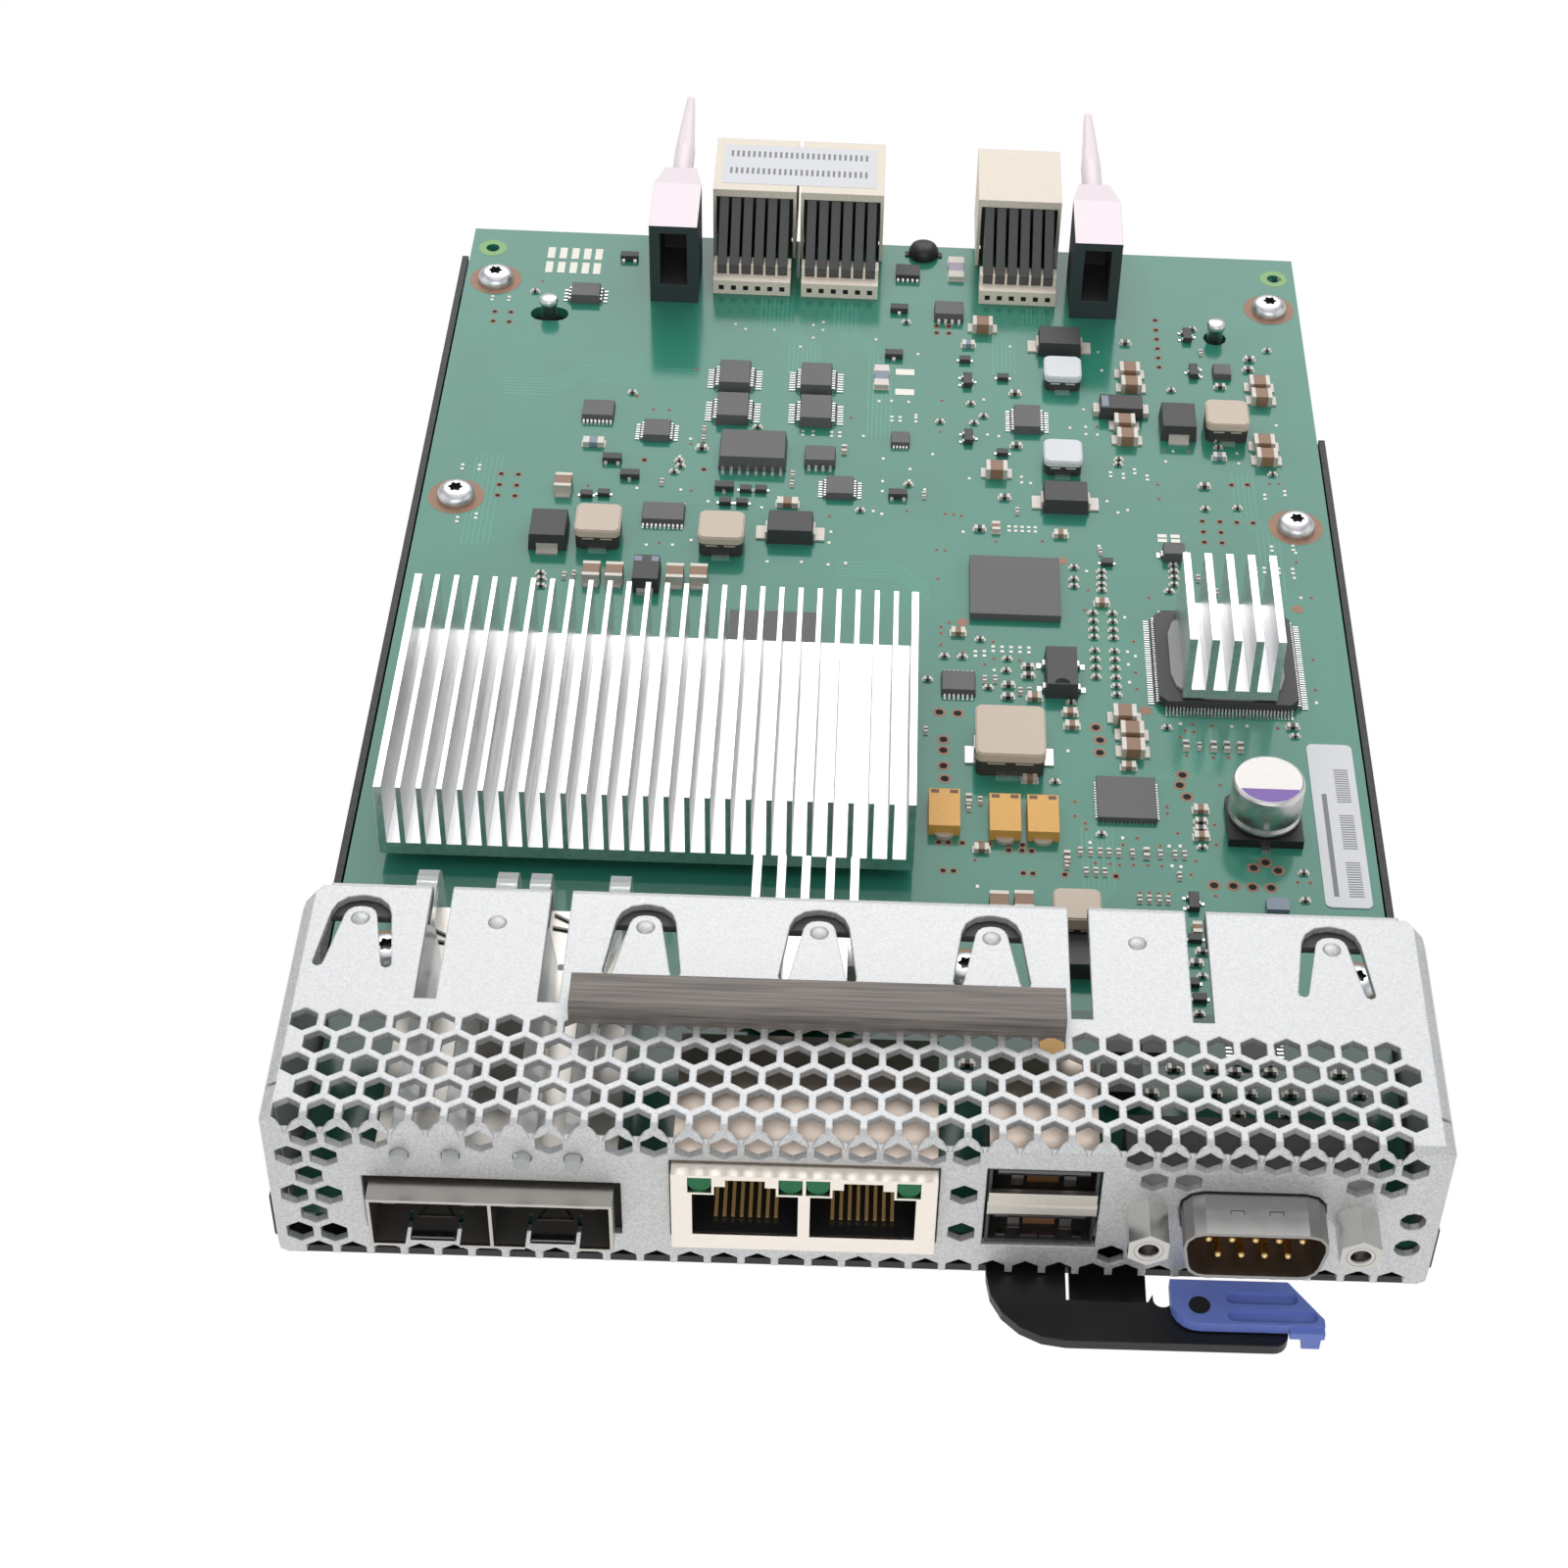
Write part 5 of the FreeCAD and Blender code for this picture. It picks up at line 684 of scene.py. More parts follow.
# Leaded packages: X, Y, width, depth, sides, leads a side, pitch, lead width, reach and height
LEADED = (
    (12.2, 100.1, 5.0, 4.4, "fb", 7, 0.65, 0.32, 0.95, 0.5),
    (50.9, 106.6, 20.0, 20.0, "fblr", 37, 0.5, 0.24, 1.5, 0.8),
    (-19.6, 152.1, 10.5, 7.5, "fb", 8, 1.27, 0.5, 1.3, 1.0),
    (-9.2, 151.6, 4.9, 3.9, "fb", 4, 1.1, 0.45, 1.1, 0.7),
    (10.8, 192.1, 4.9, 3.9, "fb", 4, 1.1, 0.45, 1.1, 0.7),
    (-49.0, 193.3, 4.9, 3.9, "lr", 4, 0.95, 0.42, 1.1, 0.7),
    (-23.4, 171.7, 5.2, 6.4, "lr", 8, 0.65, 0.3, 1.7, 0.8),
    (-10.4, 171.8, 5.2, 6.4, "lr", 8, 0.65, 0.3, 1.7, 0.8),
    (-23.3, 163.0, 5.2, 6.4, "lr", 8, 0.65, 0.3, 1.7, 0.8),
    (-10.2, 163.2, 5.2, 6.4, "lr", 8, 0.65, 0.3, 1.7, 0.8),
    (-44.3, 161.5, 5.1, 4.2, "fb", 8, 0.6, 0.3, 1.0, 0.55),
    (-34.8, 157.0, 4.4, 4.4, "lr", 7, 0.6, 0.3, 1.1, 0.55),
    (-5.9, 144.2, 4.4, 4.6, "lr", 7, 0.6, 0.3, 1.1, 0.55),
    (23.2, 163.4, 4.4, 6.0, "lr", 9, 0.62, 0.32, 1.2, 0.6),
    (-32.4, 136.3, 6.5, 4.4, "fb", 10, 0.65, 0.32, 1.0, 0.5),
    (3.2, 157.2, 3.0, 3.0, "fb", 5, 0.5, 0.24, 0.7, 0.4),
    (27.0, 102.4, 4.8, 8.6, "lr", 2, 5.0, 1.1, 1.1, 0.9),
    (44.8, 131.2, 3.4, 2.8, "lr", 1, 1.0, 1.2, 0.9, 0.6),
    (49.9, 31.6, 4.4, 5.0, "lr", 7, 0.65, 0.32, 1.5, 0.5),
)
CERAMICS_WIDE = (
    (40.0, 177.2), (40.1, 173.4), (38.6, 163.2), (38.9, 159.5), (60.9, 174.9), (61.0, 171.4),
    (60.5, 159.2), (60.7, 155.6), (16.3, 188.4), (18.2, 149.8), (35.8, 94.2), (36.7, 90.7),
    (36.7, 87.2))
CERAMICS_TALL = (
    (-42.0, 121.3), (-38.6, 121.3), (-29.7, 121.5), (-26.2, 121.6), (-48.0, 142.2), (17.5, 55.8),
    (20.8, 56.0))
CHOKES = ((-41.7, 131.1), (-23.3, 130.5), (54.7, 163.4))
FRONT_CHOKE = (27.5, 52.0, 6.3, 5.8, 5.4)
LARGE_CHOKE = (19.3, 86.6, 9.8, 10.4, 4.2)
WHITE_CHOKES = ((29.0, 175.0), (28.5, 152.9))
DIODES = ((-13.1, 133.3), (28.8, 184.1), (28.7, 143.1))
UPRIGHT_DIODES = ((-49.1, 130.5), (47.1, 163.3))
TANTALUMS = ((10.2, 73.0), (18.5, 72.4), (23.7, 72.4))

# Bare pads: X, Y, width and depth
PADS = [(x, y, 1.2, 3.2) for x in (-55.8, -53.8, -51.8, -49.8, -47.9) for y in (205.6, 201.4)] + [
    (3.75, 175.6, 3.0, 1.6), (3.75, 170.2, 3.0, 1.6)] + [
    (x, y, 1.4, 0.8) for x in (43.3, 45.3) for y in (136.0, 134.9)]
TINY_PADS = [(17.3 + 1.3 * k, 108.4) for k in range(5)] + [(14.7, 107.2), (16.0, 107.3)] + [
    (x, 163.0) for x in (1.8, 3.1, 5.6)] + [(x, 158.4) for x in (-12.1, -10.5, -7.6, -6.3)] + [
    (20.0 + k, 136.4) for k in range(5)] + [(x, 128.7) for x in (57.1, 58.4, 60.6, 62.7)] + [
    (36.0, 150.8), (38.0, 150.5), (39.8, 151.8), (41.7, 150.3)] + [ (-63.9, 146.6), (-61.3, 146.6),
    (-63.2, 133.7), (-60.5, 134.7), (-64.2, 191.8), (-61.5, 191.8), (59.8, 146.6), (63.0, 147.7),
    (59.9, 133.9), (63.2, 134.3)]
LARGE_VIAS = (
    (9.5, 94.3), (12.1, 94.2), (10.1, 88.6), (10.1, 86.4), (10.1, 83.2), (10.3, 80.6),
    (31.7, 92.2), (32.2, 89.6), (32.1, 87.0), (43.5, 83.0), (43.0, 80.9), (43.9, 78.6),
    (46.6, 61.5), (49.2, 61.5), (51.8, 61.4), (54.3, 61.4), (52.2, 65.1), (53.9, 66.2),
    (55.5, 64.7))
MEDIUM_VIAS = [(45.0, y) for y in (192.9, 190.1, 187.5, 184.9, 182.3, 179.7)] + [ (x, y) for x in
    (8.8, 10.8) for y in (188.8, 186.9)] + [ (x, y) for x in (-57.8, -55.2) for y in
    (145.2, 142.5, 139.9)] + [ (x, y) for x in (-63.4, -60.8) for y in (188.0, 185.3)] + [ (x, y)
    for x in (49.7, 52.4) for y in (140.0, 137.4, 134.9)] + [ (55.0, 140.0), (57.5, 140.0),
    (54.8, 149.3), (57.3, 149.5), (-36.3, 150.0), (-27.0, 148.2)] + [ (x, 68.0) for x in
    (9.5, 10.8, 12.7, 15.1, 16.3, 18.9, 20.9)] + [(x, 66.9) for x in (19.0, 20.8, 22.1)] + [
    (x, 62.6) for x in (10.1, 11.5, 20.9, 22.2, 26.5, 33.4)]
SMALL_VIAS = (
    (66.7, 206.3), (-56.5, 197.2), (-29.6, 174.3), (9.7, 168.4), (-38.6, 166.3), (-35.8, 163.1),
    (-33.3, 163.1), (34.3, 163.0), (-4.6, 162.9), (9.5, 160.2), (44.7, 157.5), (48.6, 157.4),
    (-29.4, 154.6), (62.3, 150.1), (60.8, 150.0), (43.3, 148.7), (43.3, 145.1), (-44.4, 143.1),
    (-28.6, 142.8), (4.4, 139.8), (10.3, 139.4), (11.6, 139.4), (12.7, 139.1), (-7.3, 137.8),
    (25.0, 133.7), (18.0, 133.2), (63.4, 130.9), (9.0, 130.7), (10.3, 130.6), (-32.6, 129.9),
    (9.2, 123.9), (65.0, 122.6), (31.6, 122.5), (40.6, 121.3), (30.9, 117.9), (10.9, 114.0),
    (9.7, 112.9), (9.7, 111.5), (37.9, 111.2), (17.3, 110.0), (9.7, 108.9), (64.0, 108.6),
    (12.9, 107.4), (17.4, 106.2), (21.1, 106.0), (16.1, 104.9), (37.9, 104.3), (63.8, 101.9),
    (37.9, 100.7), (45.5, 93.6), (48.3, 93.4), (57.7, 93.4), (44.4, 92.2), (45.6, 92.0),
    (43.6, 90.8), (44.3, 87.0), (50.2, 86.9), (48.1, 86.8), (48.7, 81.2), (28.3, 76.9),
    (41.0, 76.5), (41.0, 75.2), (28.2, 74.0), (47.4, 73.2), (29.6, 72.7), (29.7, 71.5),
    (42.2, 71.3), (36.6, 70.1), (47.4, 69.3), (34.6, 68.7), (39.7, 68.7), (44.4, 66.1),
    (30.7, 65.0), (32.7, 64.9), (35.9, 64.9), (37.8, 64.9), (14.4, 64.8), (34.0, 64.8),
    (39.7, 64.8), (43.6, 63.4), (59.7, 62.6), (58.0, 62.6), (37.8, 59.7), (36.5, 59.6),
    (39.0, 59.6), (40.4, 59.6), (46.7, 59.5))
PALE_DOTS = (
    (-9.8, 188.6), (-11.4, 187.7), (-24.1, 187.1), (-9.8, 186.4), (-17.7, 185.9), (-22.4, 185.8),
    (-1.1, 184.3), (-11.3, 184.1), (20.8, 183.8), (35.2, 183.2), (-13.3, 181.5), (5.8, 180.7),
    (35.6, 178.2), (16.4, 169.0), (1.7, 167.7), (4.4, 167.6), (-0.3, 167.5), (32.3, 167.4),
    (63.0, 165.1), (5.6, 164.2), (32.5, 162.8), (30.0, 162.4), (32.5, 160.9), (34.3, 160.9),
    (16.9, 159.8), (18.7, 159.5), (-2.6, 158.2), (56.2, 157.4), (46.1, 157.3), (-29.5, 155.8),
    (56.3, 154.8), (44.8, 154.6), (8.3, 154.2), (0.6, 152.6), (-30.9, 151.2), (4.8, 150.2),
    (22.1, 149.3), (14.0, 148.4), (22.1, 147.9), (23.5, 147.8), (4.7, 147.3), (0.6, 146.9),
    (7.1, 145.2), (0.6, 144.4), (35.2, 144.0), (-36.9, 142.9), (-30.2, 142.9), (38.3, 142.0),
    (36.8, 141.3), (-25.9, 140.3), (-0.7, 139.4), (-17.7, 139.3), (0.6, 138.8), (13.0, 135.2),
    (-7.0, 134.0), (63.5, 133.1), (33.6, 133.0), (-7.2, 131.4), (-27.9, 130.8), (-30.6, 129.5),
    (-34.5, 129.3), (62.8, 127.1), (31.5, 126.9), (-4.6, 126.7), (-11.2, 126.6), (-16.3, 126.4),
    (-7.2, 126.2), (63.4, 122.5), (36.8, 116.5), (36.9, 108.8), (38.0, 107.9), (36.9, 106.0),
    (17.4, 103.7), (36.9, 102.1), (63.7, 99.1), (43.8, 93.6), (53.3, 93.6), (51.1, 93.4),
    (27.6, 87.1), (34.6, 70.0), (30.1, 68.9), (42.4, 68.8), (40.9, 68.7), (41.1, 64.9),
    (42.3, 64.8), (14.7, 59.8))
# Bundles of traces: path, number of lines, step between them
TRACES = (
    (((-6, 127), (3, 127), (8, 122)), 5, (0, -0.8)), (((44, 92), (44, 86), (40, 82)), 7, (0.8, 0)),
    (((29, 72), (29, 60), (25, 56)), 7, (0.7, 0)),
    (((-20, 195), (-20, 187), (-15, 182), (-15, 174)), 8, (0.7, 0)),
    (((23, 195), (23, 190), (18, 185), (18, 176)), 6, (0.7, 0)),
    (((-60, 166), (-52, 166), (-48, 170), (-28, 170)), 6, (0, 0.8)),
    (((55, 152), (55, 141), (58, 138), (58, 122)), 5, (0.8, 0)),
    (((-8, 195), (-8, 186), (-2, 180), (-2, 158)), 6, (0.7, 0)),
    (((-62, 150), (-62, 128)), 6, (0.8, 0)))
TEST_PADS = ((27.8, 129.1), (12.9, 114.1), (38.9, 96.2), (62.7, 119.9))

# Backplane connectors and ports
LINKS = (-21.9, -7.4, 22.1)
LINK_FACE_Y = 195.7
USB_X = 21.6
SERIAL_X = 46.5
SERIAL_Z = BOARD_TOP + 6.5
CAGE_PORTS = (-50.15, -36.05)
CAGE_MARKS = ((-54.3, 32.2), (-38.2, 34.8))


# Chip parts: share of the length that each end takes, then how far its solder foot reaches out,
# grows, widens and rises
CHIP_END = 0.3
FOOT_REACH, FOOT_GROWTH, FOOT_SPREAD, FOOT_RISE = 0.12, 0.25, 1.1, 0.1
CHIP_RESISTORS = ((ACROSS_0402, "0402", True), (ALONG_0402, "0402", False),
                  (ACROSS_0603, "0603", True), (ALONG_0603, "0603", False))
# Places, size, whether it lies across the board, and the finish of the body
CHIP_CAPACITORS = (
    (TAN_ACROSS, "0805", True, 1), (TAN_ALONG, "0805", False, 1),
    (((-13.8, 140.3),), "1206", True, 1), (((-44.4, 153.6),), "1206", True, 2),
    (((14.0, 183.6), (53.3, 156.0)), "0805", True, 2),
    (((0.0, 173.5),), "filter", False, 2), (((12.0, 205.0),), "fuse", False, 3))


def chip_part(shape, x, y, size, across, body):
    """Two-terminal chip: metal ends round a body, on two thin solder feet."""
    length, width, height = CHIP_SIZES[size]
    end = length * CHIP_END
    cap = length / 2 - end / 2
    shape.both_ends(x, y, across, cap, end, width, 0, height)
    shape.both_ends(x, y, across, cap + FOOT_REACH, end + FOOT_GROWTH, width * FOOT_SPREAD,
                    0, FOOT_RISE)
    middle = (length - 2 * end, width * 0.96) if across else (width * 0.96, length - 2 * end)
    shape.block(x, y, *middle, 0.02, height * 0.97, body)


class CARD_OT_chip_parts(bpy.types.Operator):
    """Small resistors and capacitors on the board"""
    bl_idname = "card.chip_parts"
    bl_label = "Chip resistors and capacitors"

    def execute(self, context):
        resistors = Shape(BOARD_TOP)
        for places, size, across in CHIP_RESISTORS:
            for x, y in places:
                chip_part(resistors, x, y, size, across, 1)
        piece("chip_resistors", resistors, ["ends", "resistor"], slot="chip_black")
        capacitors = Shape(BOARD_TOP)
        for places, size, across, body in CHIP_CAPACITORS:
            for x, y in places:
                chip_part(capacitors, x, y, size, across, body)
        piece("chip_capacitors", capacitors, ["ends", "tan", "blue_grey", "lilac"],
              slot="ceramic_tan")
        return {"FINISHED"}


SIDES = {"f": (0, -1), "b": (0, 1), "l": (-1, 0), "r": (1, 0)}
# Long side, short side and height of a body; width, reach and height of a lead
SMALL_BODY = (2.9, 1.4, 1.0)
SMALL_LEAD = (0.5, 0.75, 0.5)
SMALL_PITCH = 1.9
TINY_BODY = (1.8, 1.2, 0.75)
# Offset, length, width and rise of a foot
TINY_FOOT = (1.05, 0.5, 0.5, 0.15)
# Single packages: X, Y, width and depth
AMBER_PART = (23.9, 30.5, 3.2, 3.0)
BLUE_PART = (54.8, 57.5, 3.0, 2.2)
REAR_DRIVER = (3.9, 203.2, 4.0, 3.2)
REAR_DRIVER_LEAD = (0.35, 0.8, 0.5)
# Round cap: radius and height above the board
DOME = ((2.5, 0), (2.5, 1.0), (2.1, 1.7), (1.2, 2.1), (0.1, 2.2))
DOME_PLACE = (6.5, 209.5)


class CARD_OT_small_bodies(bpy.types.Operator):
    """Small transistors and diodes with their leads"""
    bl_idname = "card.small_bodies"
    bl_label = "Small transistors"

    def execute(self, context):
        shape = Shape(BOARD_TOP)
        long_side, short_side, height = SMALL_BODY
        for x, y, *leads in SMALL_TRANSISTORS:
            upright_body = leads[2] or leads[3]
            width, depth = (short_side, long_side) if upright_body else (long_side, short_side)
            shape.block(x, y, width, depth, 0.1, height)
            for count, direction in zip(leads, SIDES.values()):
                shape.lead_row((x, y, width, depth), direction, count, SMALL_PITCH, SMALL_LEAD, 1)
        width, depth, height = TINY_BODY
        offset, length, foot_width, rise = TINY_FOOT
        for x, y in TINY_BODIES:
            shape.block(x, y, width, depth, 0.05, height)
            shape.both_ends(x, y, True, offset, length, foot_width, 0, rise, 1)
        for x, y, width, depth, height in VENT_BODIES:
            shape.block(x, y, width, depth, 0.05, height)
        shape.block(*AMBER_PART, 0, 1.7, 3)
        shape.block(*REAR_DRIVER, 0.05, 1.1)
        shape.lead_row(REAR_DRIVER, SIDES["f"], 5, 0.8, REAR_DRIVER_LEAD, 1)
        shape.block(*BLUE_PART, 0, 1.0, 2)
        x, y = DOME_PLACE
        shape.lathe(x, y, DOME, 24, 4)
        shape.both_ends(x, y - 0.2, True, 2.6, 1.0, 1.2, 0, 0.3, 4)
        piece("small_transistors", shape, ["chip_dark", "solder", "blue_grey", "tantalum", "black"],
              slot="chip_black")
        return {"FINISHED"}


# The leadless chip's contacts: count a side, pitch, distance from its middle, width, length, rise
NO_LEAD_CHIP = (35.4, 77.2)
NO_LEAD_CONTACTS = (14, 0.52, 4.15, 0.26, 0.5, 0.25)


class CARD_OT_leads(bpy.types.Operator):
    """Gull-wing leads round the chips"""
    bl_idname = "card.leads"
    bl_label = "Chip leads"

    def execute(self, context):
        shape = Shape(BOARD_TOP)
        for x, y, width, depth, sides, count, pitch, *lead in LEADED:
            for side in sides:
                shape.lead_row((x, y, width, depth), SIDES[side], count, pitch, lead)
        x, y = NO_LEAD_CHIP
        count, pitch, offset, width, length, rise = NO_LEAD_CONTACTS
        for k in range(count):
            shift = (k - (count - 1) / 2) * pitch
            for across, a, b in ((False, x + shift, y), (True, x, y + shift)):
                shape.both_ends(a, b, across, offset, length, width, 0, rise)
        piece("chip_leads", shape, ["solder"], slot="bright_steel")
        return {"FINISHED"}


# Metal ends of larger packages: places, whether the part lies across the board, shift in Y, and
# for each pair its offset, length, width, base and top
CERAMIC_ENDS = ((1.31, 0.64, 2.56, 0, 1.83), (1.95, 0.9, 2.2, 0, 0.3))
PACKAGE_ENDS = (
    (CERAMICS_WIDE, True, 0, CERAMIC_ENDS),
    (CERAMICS_TALL, False, 0, CERAMIC_ENDS),
    (DIODES, True, -0.2, ((4.3, 1.7, 3.0, 0, 0.3), (3.6, 0.3, 2.8, 0.2, 1.4))),
    (UPRIGHT_DIODES, False, 0, ((3.8, 1.1, 3.2, 0, 0.3), (3.38, 0.25, 3.2, 0.2, 1.3))))
# Half the length of a yellow tantalum, its round feet and its marks
TANTALUM_HALF = 3.6
TANTALUM_FOOT = (1.3, 0.95, 0.55)
TANTALUM_MARK = (1.3, 3.1, 1.1, 0.7, 1.9)
MARK_THICKNESS = 0.015
REAR_TANTALUM = (-33.9, 121.1)
SIDE_TANTALUM = (38.2, 167.0)
NOTCH_PLACE = (27.0, 98.5)
NOTCH_RADIUS = 1.1
ISOLATOR_TOP = 2.585


class CARD_OT_terminals(bpy.types.Operator):
    """Metal ends, feet and polarity marks of the larger packages"""
    bl_idname = "card.terminals"
    bl_label = "Terminals"

    def execute(self, context):
        shape = Shape(BOARD_TOP)
        for places, across, lift, pairs in PACKAGE_ENDS:
            for x, y in places:
                for offset, length, width, base, top in pairs:
                    shape.both_ends(x, y + lift, across, offset, length, width, base, top)
        reach_x, reach_y, rise = TANTALUM_FOOT
        shift_x, shift_y, width, depth, height = TANTALUM_MARK
        for x, y in TANTALUMS:
            for side in (-1, 1):
                foot = arc(x, y + side * TANTALUM_HALF, reach_x, side * reach_y, 10)
                shape.sweep(foot, upright(0, rise))
                shape.block(x + side * shift_x, y + shift_y, width, depth, height,
                            height + MARK_THICKNESS, 1)
        x, y = REAR_TANTALUM
        shape.block(x, y - 3.2, 2.4, 0.8, 0, 0.8)
        shape.both_ends(x, y + 1.9, True, 1.25, 1.1, 1.1, 2.6, 2.6 + MARK_THICKNESS, 2)
        x, y = SIDE_TANTALUM
        shape.both_ends(x, y, True, 3.9, 1.0, 2.4, 0, 0.9)
        shape.block(x - 2.6, y, 1.1, 2.8, 2.2, 2.2 + MARK_THICKNESS, 2)
        piece("package_terminals", shape, ["ends", "mark_brown", "blue_grey"], slot="bright_steel")
        # Painted shade in the isolator's notch.
        notch = Shape(BOARD_TOP)
        notch.sweep(arc(*NOTCH_PLACE, NOTCH_RADIUS, NOTCH_RADIUS, 12),
                    upright(ISOLATOR_TOP, ISOLATOR_TOP + 0.03))
        piece("isolator_notch", notch, ["hole"], slot="chip_black")
        return {"FINISHED"}


CHOKE_SET = [(x, y, 6.8, 6.7, 3.6) for x, y in CHOKES] + [FRONT_CHOKE]
WHITE_SET = [(x, y, 6, 6, 2.8) for x, y in WHITE_CHOKES]
CHOKE_CORNER = 1.1
CHOKE_LID = 0.36
CHOKE_STEP = 0.2
SIDE_TERMINAL_WIDTH = 9


class CARD_OT_chokes(bpy.types.Operator):
    """Chokes: a pale round-cornered top over a dark body with its terminals"""
    bl_idname = "card.chokes"
    bl_label = "Chokes"

    def execute(self, context):
        for name, node, top, slot, places in (
                ("choke_set", "power_chokes", "beige", "choke_beige", CHOKE_SET),
                ("choke_large", "large_choke", "beige", "choke_beige", [LARGE_CHOKE]),
                ("choke_white", "white_chokes", "white_choke", "choke_white", WHITE_SET)):
            shape = Shape(BOARD_TOP)
            for x, y, width, depth, height in places:
                self.choke(shape, x, y, width, depth, height)
            piece(name, shape, [top, "choke_body", "solder"], slot=slot, replaces=(node,))
        return {"FINISHED"}

    def choke(self, shape, x, y, width, depth, top):
        rim = top * (1 - CHOKE_LID)
        shoulder = top - CHOKE_STEP
        for inset, z0, z1, tone in ((0.12, 0, rim, 1), (0, rim, shoulder, 0),
                                    (CHOKE_STEP, shoulder, top, 0)):
            outline = rounded(x, y, width - 2 * inset, depth - 2 * inset, CHOKE_CORNER - inset)
            shape.sweep(outline, upright(z0, z1), tone)
        front = y - depth / 2
        shape.both_ends(x, front + 0.1, True, width * 0.2, width * 0.25, 0.1, rim - 0.45,
                        rim - 0.25)
        shape.block(x, front - 0.05, width * 0.4, 0.5, 0, 0.5, 2)
        if width > SIDE_TERMINAL_WIDTH:
            shape.both_ends(x, y - 1.2, True, width / 2 + 0.5, 1.6, 3.4, 0, 0.3, 2)
            shape.both_ends(x, y - 0.7, True, width / 2 + 0.02, 0.2, 2.6, 0, 2.4, 2)


# Heights of what lies flat on the board
TRACE_RISE, HOLE_RISE, RING_RISE, VIA_HOLE_RISE = 0.006, 0.015, 0.02, 0.025
TRACE_HALF_WIDTH = 0.12
MEDIUM_VIA = 0.62
TOOLING_HOLE = (3.5, 5.6, 1.15, 2.3)


class CARD_OT_pads(bpy.types.Operator):
    """Bare pads, traces, plated holes and test points"""
    bl_idname = "card.pads"
    bl_label = "Pads and plated holes"

    def execute(self, context):
        sizes = context.scene.card_sizes
        shape = Shape(BOARD_TOP)
        for x, y, width, depth in PADS:
            shape.block(x, y, width, depth, 0, sizes.pad_rise)
        for x, y in TINY_PADS:
            shape.both_ends(x, y, False, 0.5, 0.5, 0.5, 0, sizes.pad_rise)
        for x, y in PALE_DOTS:
            shape.block(x, y, 0.42, 0.55, 0, sizes.pad_rise)
        piece("bare_pads", shape, ["pad"], slot="bright_steel")
        holes = Shape(BOARD_TOP)
        for places, radius in ((LARGE_VIAS, sizes.via_radius),
                               (MEDIUM_VIAS, sizes.via_radius * MEDIUM_VIA)):
            for x, y in places:
                holes.ring(x, y, radius * 0.72, radius * 1.2, RING_RISE)
                # Painted shade: a dark disc for the hole in each via.
                holes.disc(x, y, radius * 0.74, HOLE_RISE, finish=1)
        for x, y in TEST_PADS:
            holes.disc(x, y, 0.9, RING_RISE)
        corner = node_box("circuit_board")[1]
        inset_x, inset_y, inner, outer = TOOLING_HOLE
        for side in (-1, 1):
            holes.ring(side * (corner[0] - inset_x), corner[1] - inset_y, inner, outer, RING_RISE,
                       finish=2)
        for x, y in SMALL_VIAS:
            holes.disc(x, y, 0.34, RING_RISE, 10)
            # Painted shade: a dark disc for each small via's hole.
            holes.disc(x, y, 0.15, VIA_HOLE_RISE, 8, 1)
        lines = Shape(BOARD_TOP)
        for path, count, shift in TRACES:
            for k in range(count):
                line = [Vector((p[0] + shift[0] * k, p[1] + shift[1] * k)) for p in path]
                for first, last in zip(line, line[1:]):
                    across = (last - first).orthogonal().normalized() * TRACE_HALF_WIDTH
                    corners = (first - across, last - across, last + across, first + across)
                    lines.add([(c[0], c[1], TRACE_RISE) for c in corners], [(3, 2, 1, 0)])
        piece("board_traces", lines, ["trace"], slot="board_green")
        piece("plated_holes", holes, ["copper", "hole", "bare_edge"], slot="contact_gold")
        return {"FINISHED"}


# Radius and height above the board, and for the recess the depth of its star
SCREW_HEAD = ((2.9, 0), (2.9, 0.5), (2.78, 0.95), (2.4, 1.45), (1.8, 1.75), (1.3, 1.86),
              (1.0, 1.88, 0.16))
SCREW_RECESS = ((1.0, 1.88, 0.16), (0.92, 1.0, 0.16))
SCREW_PAD_INSIDE = 2.6
# Radius and depth below the stud's top
STUD_HEAD = ((1.3, 1.2), (1.45, 1.15), (1.5, 0.8), (1.45, 0.3), (1.2, 0.05), (0.1, 0))
STUD_RADIUS = 1.3


class CARD_OT_screws(bpy.types.Operator):
    """Pan heads with a star recess on bare copper rings, and the two tray studs"""
    bl_idname = "card.screws"
    bl_label = "Screws and studs"

    def execute(self, context):
        sizes = context.scene.card_sizes
        heads = Shape(BOARD_TOP)
        rings = Shape(BOARD_TOP)
        for x, y in SCREWS:
            heads.lathe(x, y, SCREW_HEAD, 36, caps="start")
            # Painted shade in the star recess.
            heads.lathe(x, y, SCREW_RECESS, 36, 1, caps="end")
            rings.ring(x, y, SCREW_PAD_INSIDE, sizes.screw_pad, RING_RISE, 40)
        piece("screw_heads", heads, ["steel", "dark_spring"], slot="bright_steel",
              replaces=("board_screws",))
        piece("screw_pads", rings, ["copper"], slot="contact_gold")
        low, high = node_box("tray_studs")
        profile = [(STUD_RADIUS, low[2])] + [(radius, high[2] - drop) for radius, drop in STUD_HEAD]
        studs = Shape()
        for x, y in STUDS:
            studs.lathe(x, y, profile, 28)
        piece("stud_posts", studs, ["steel"], slot="bright_steel", replaces=("tray_studs",))
        return {"FINISHED"}


DIMPLE_STEPS = 6


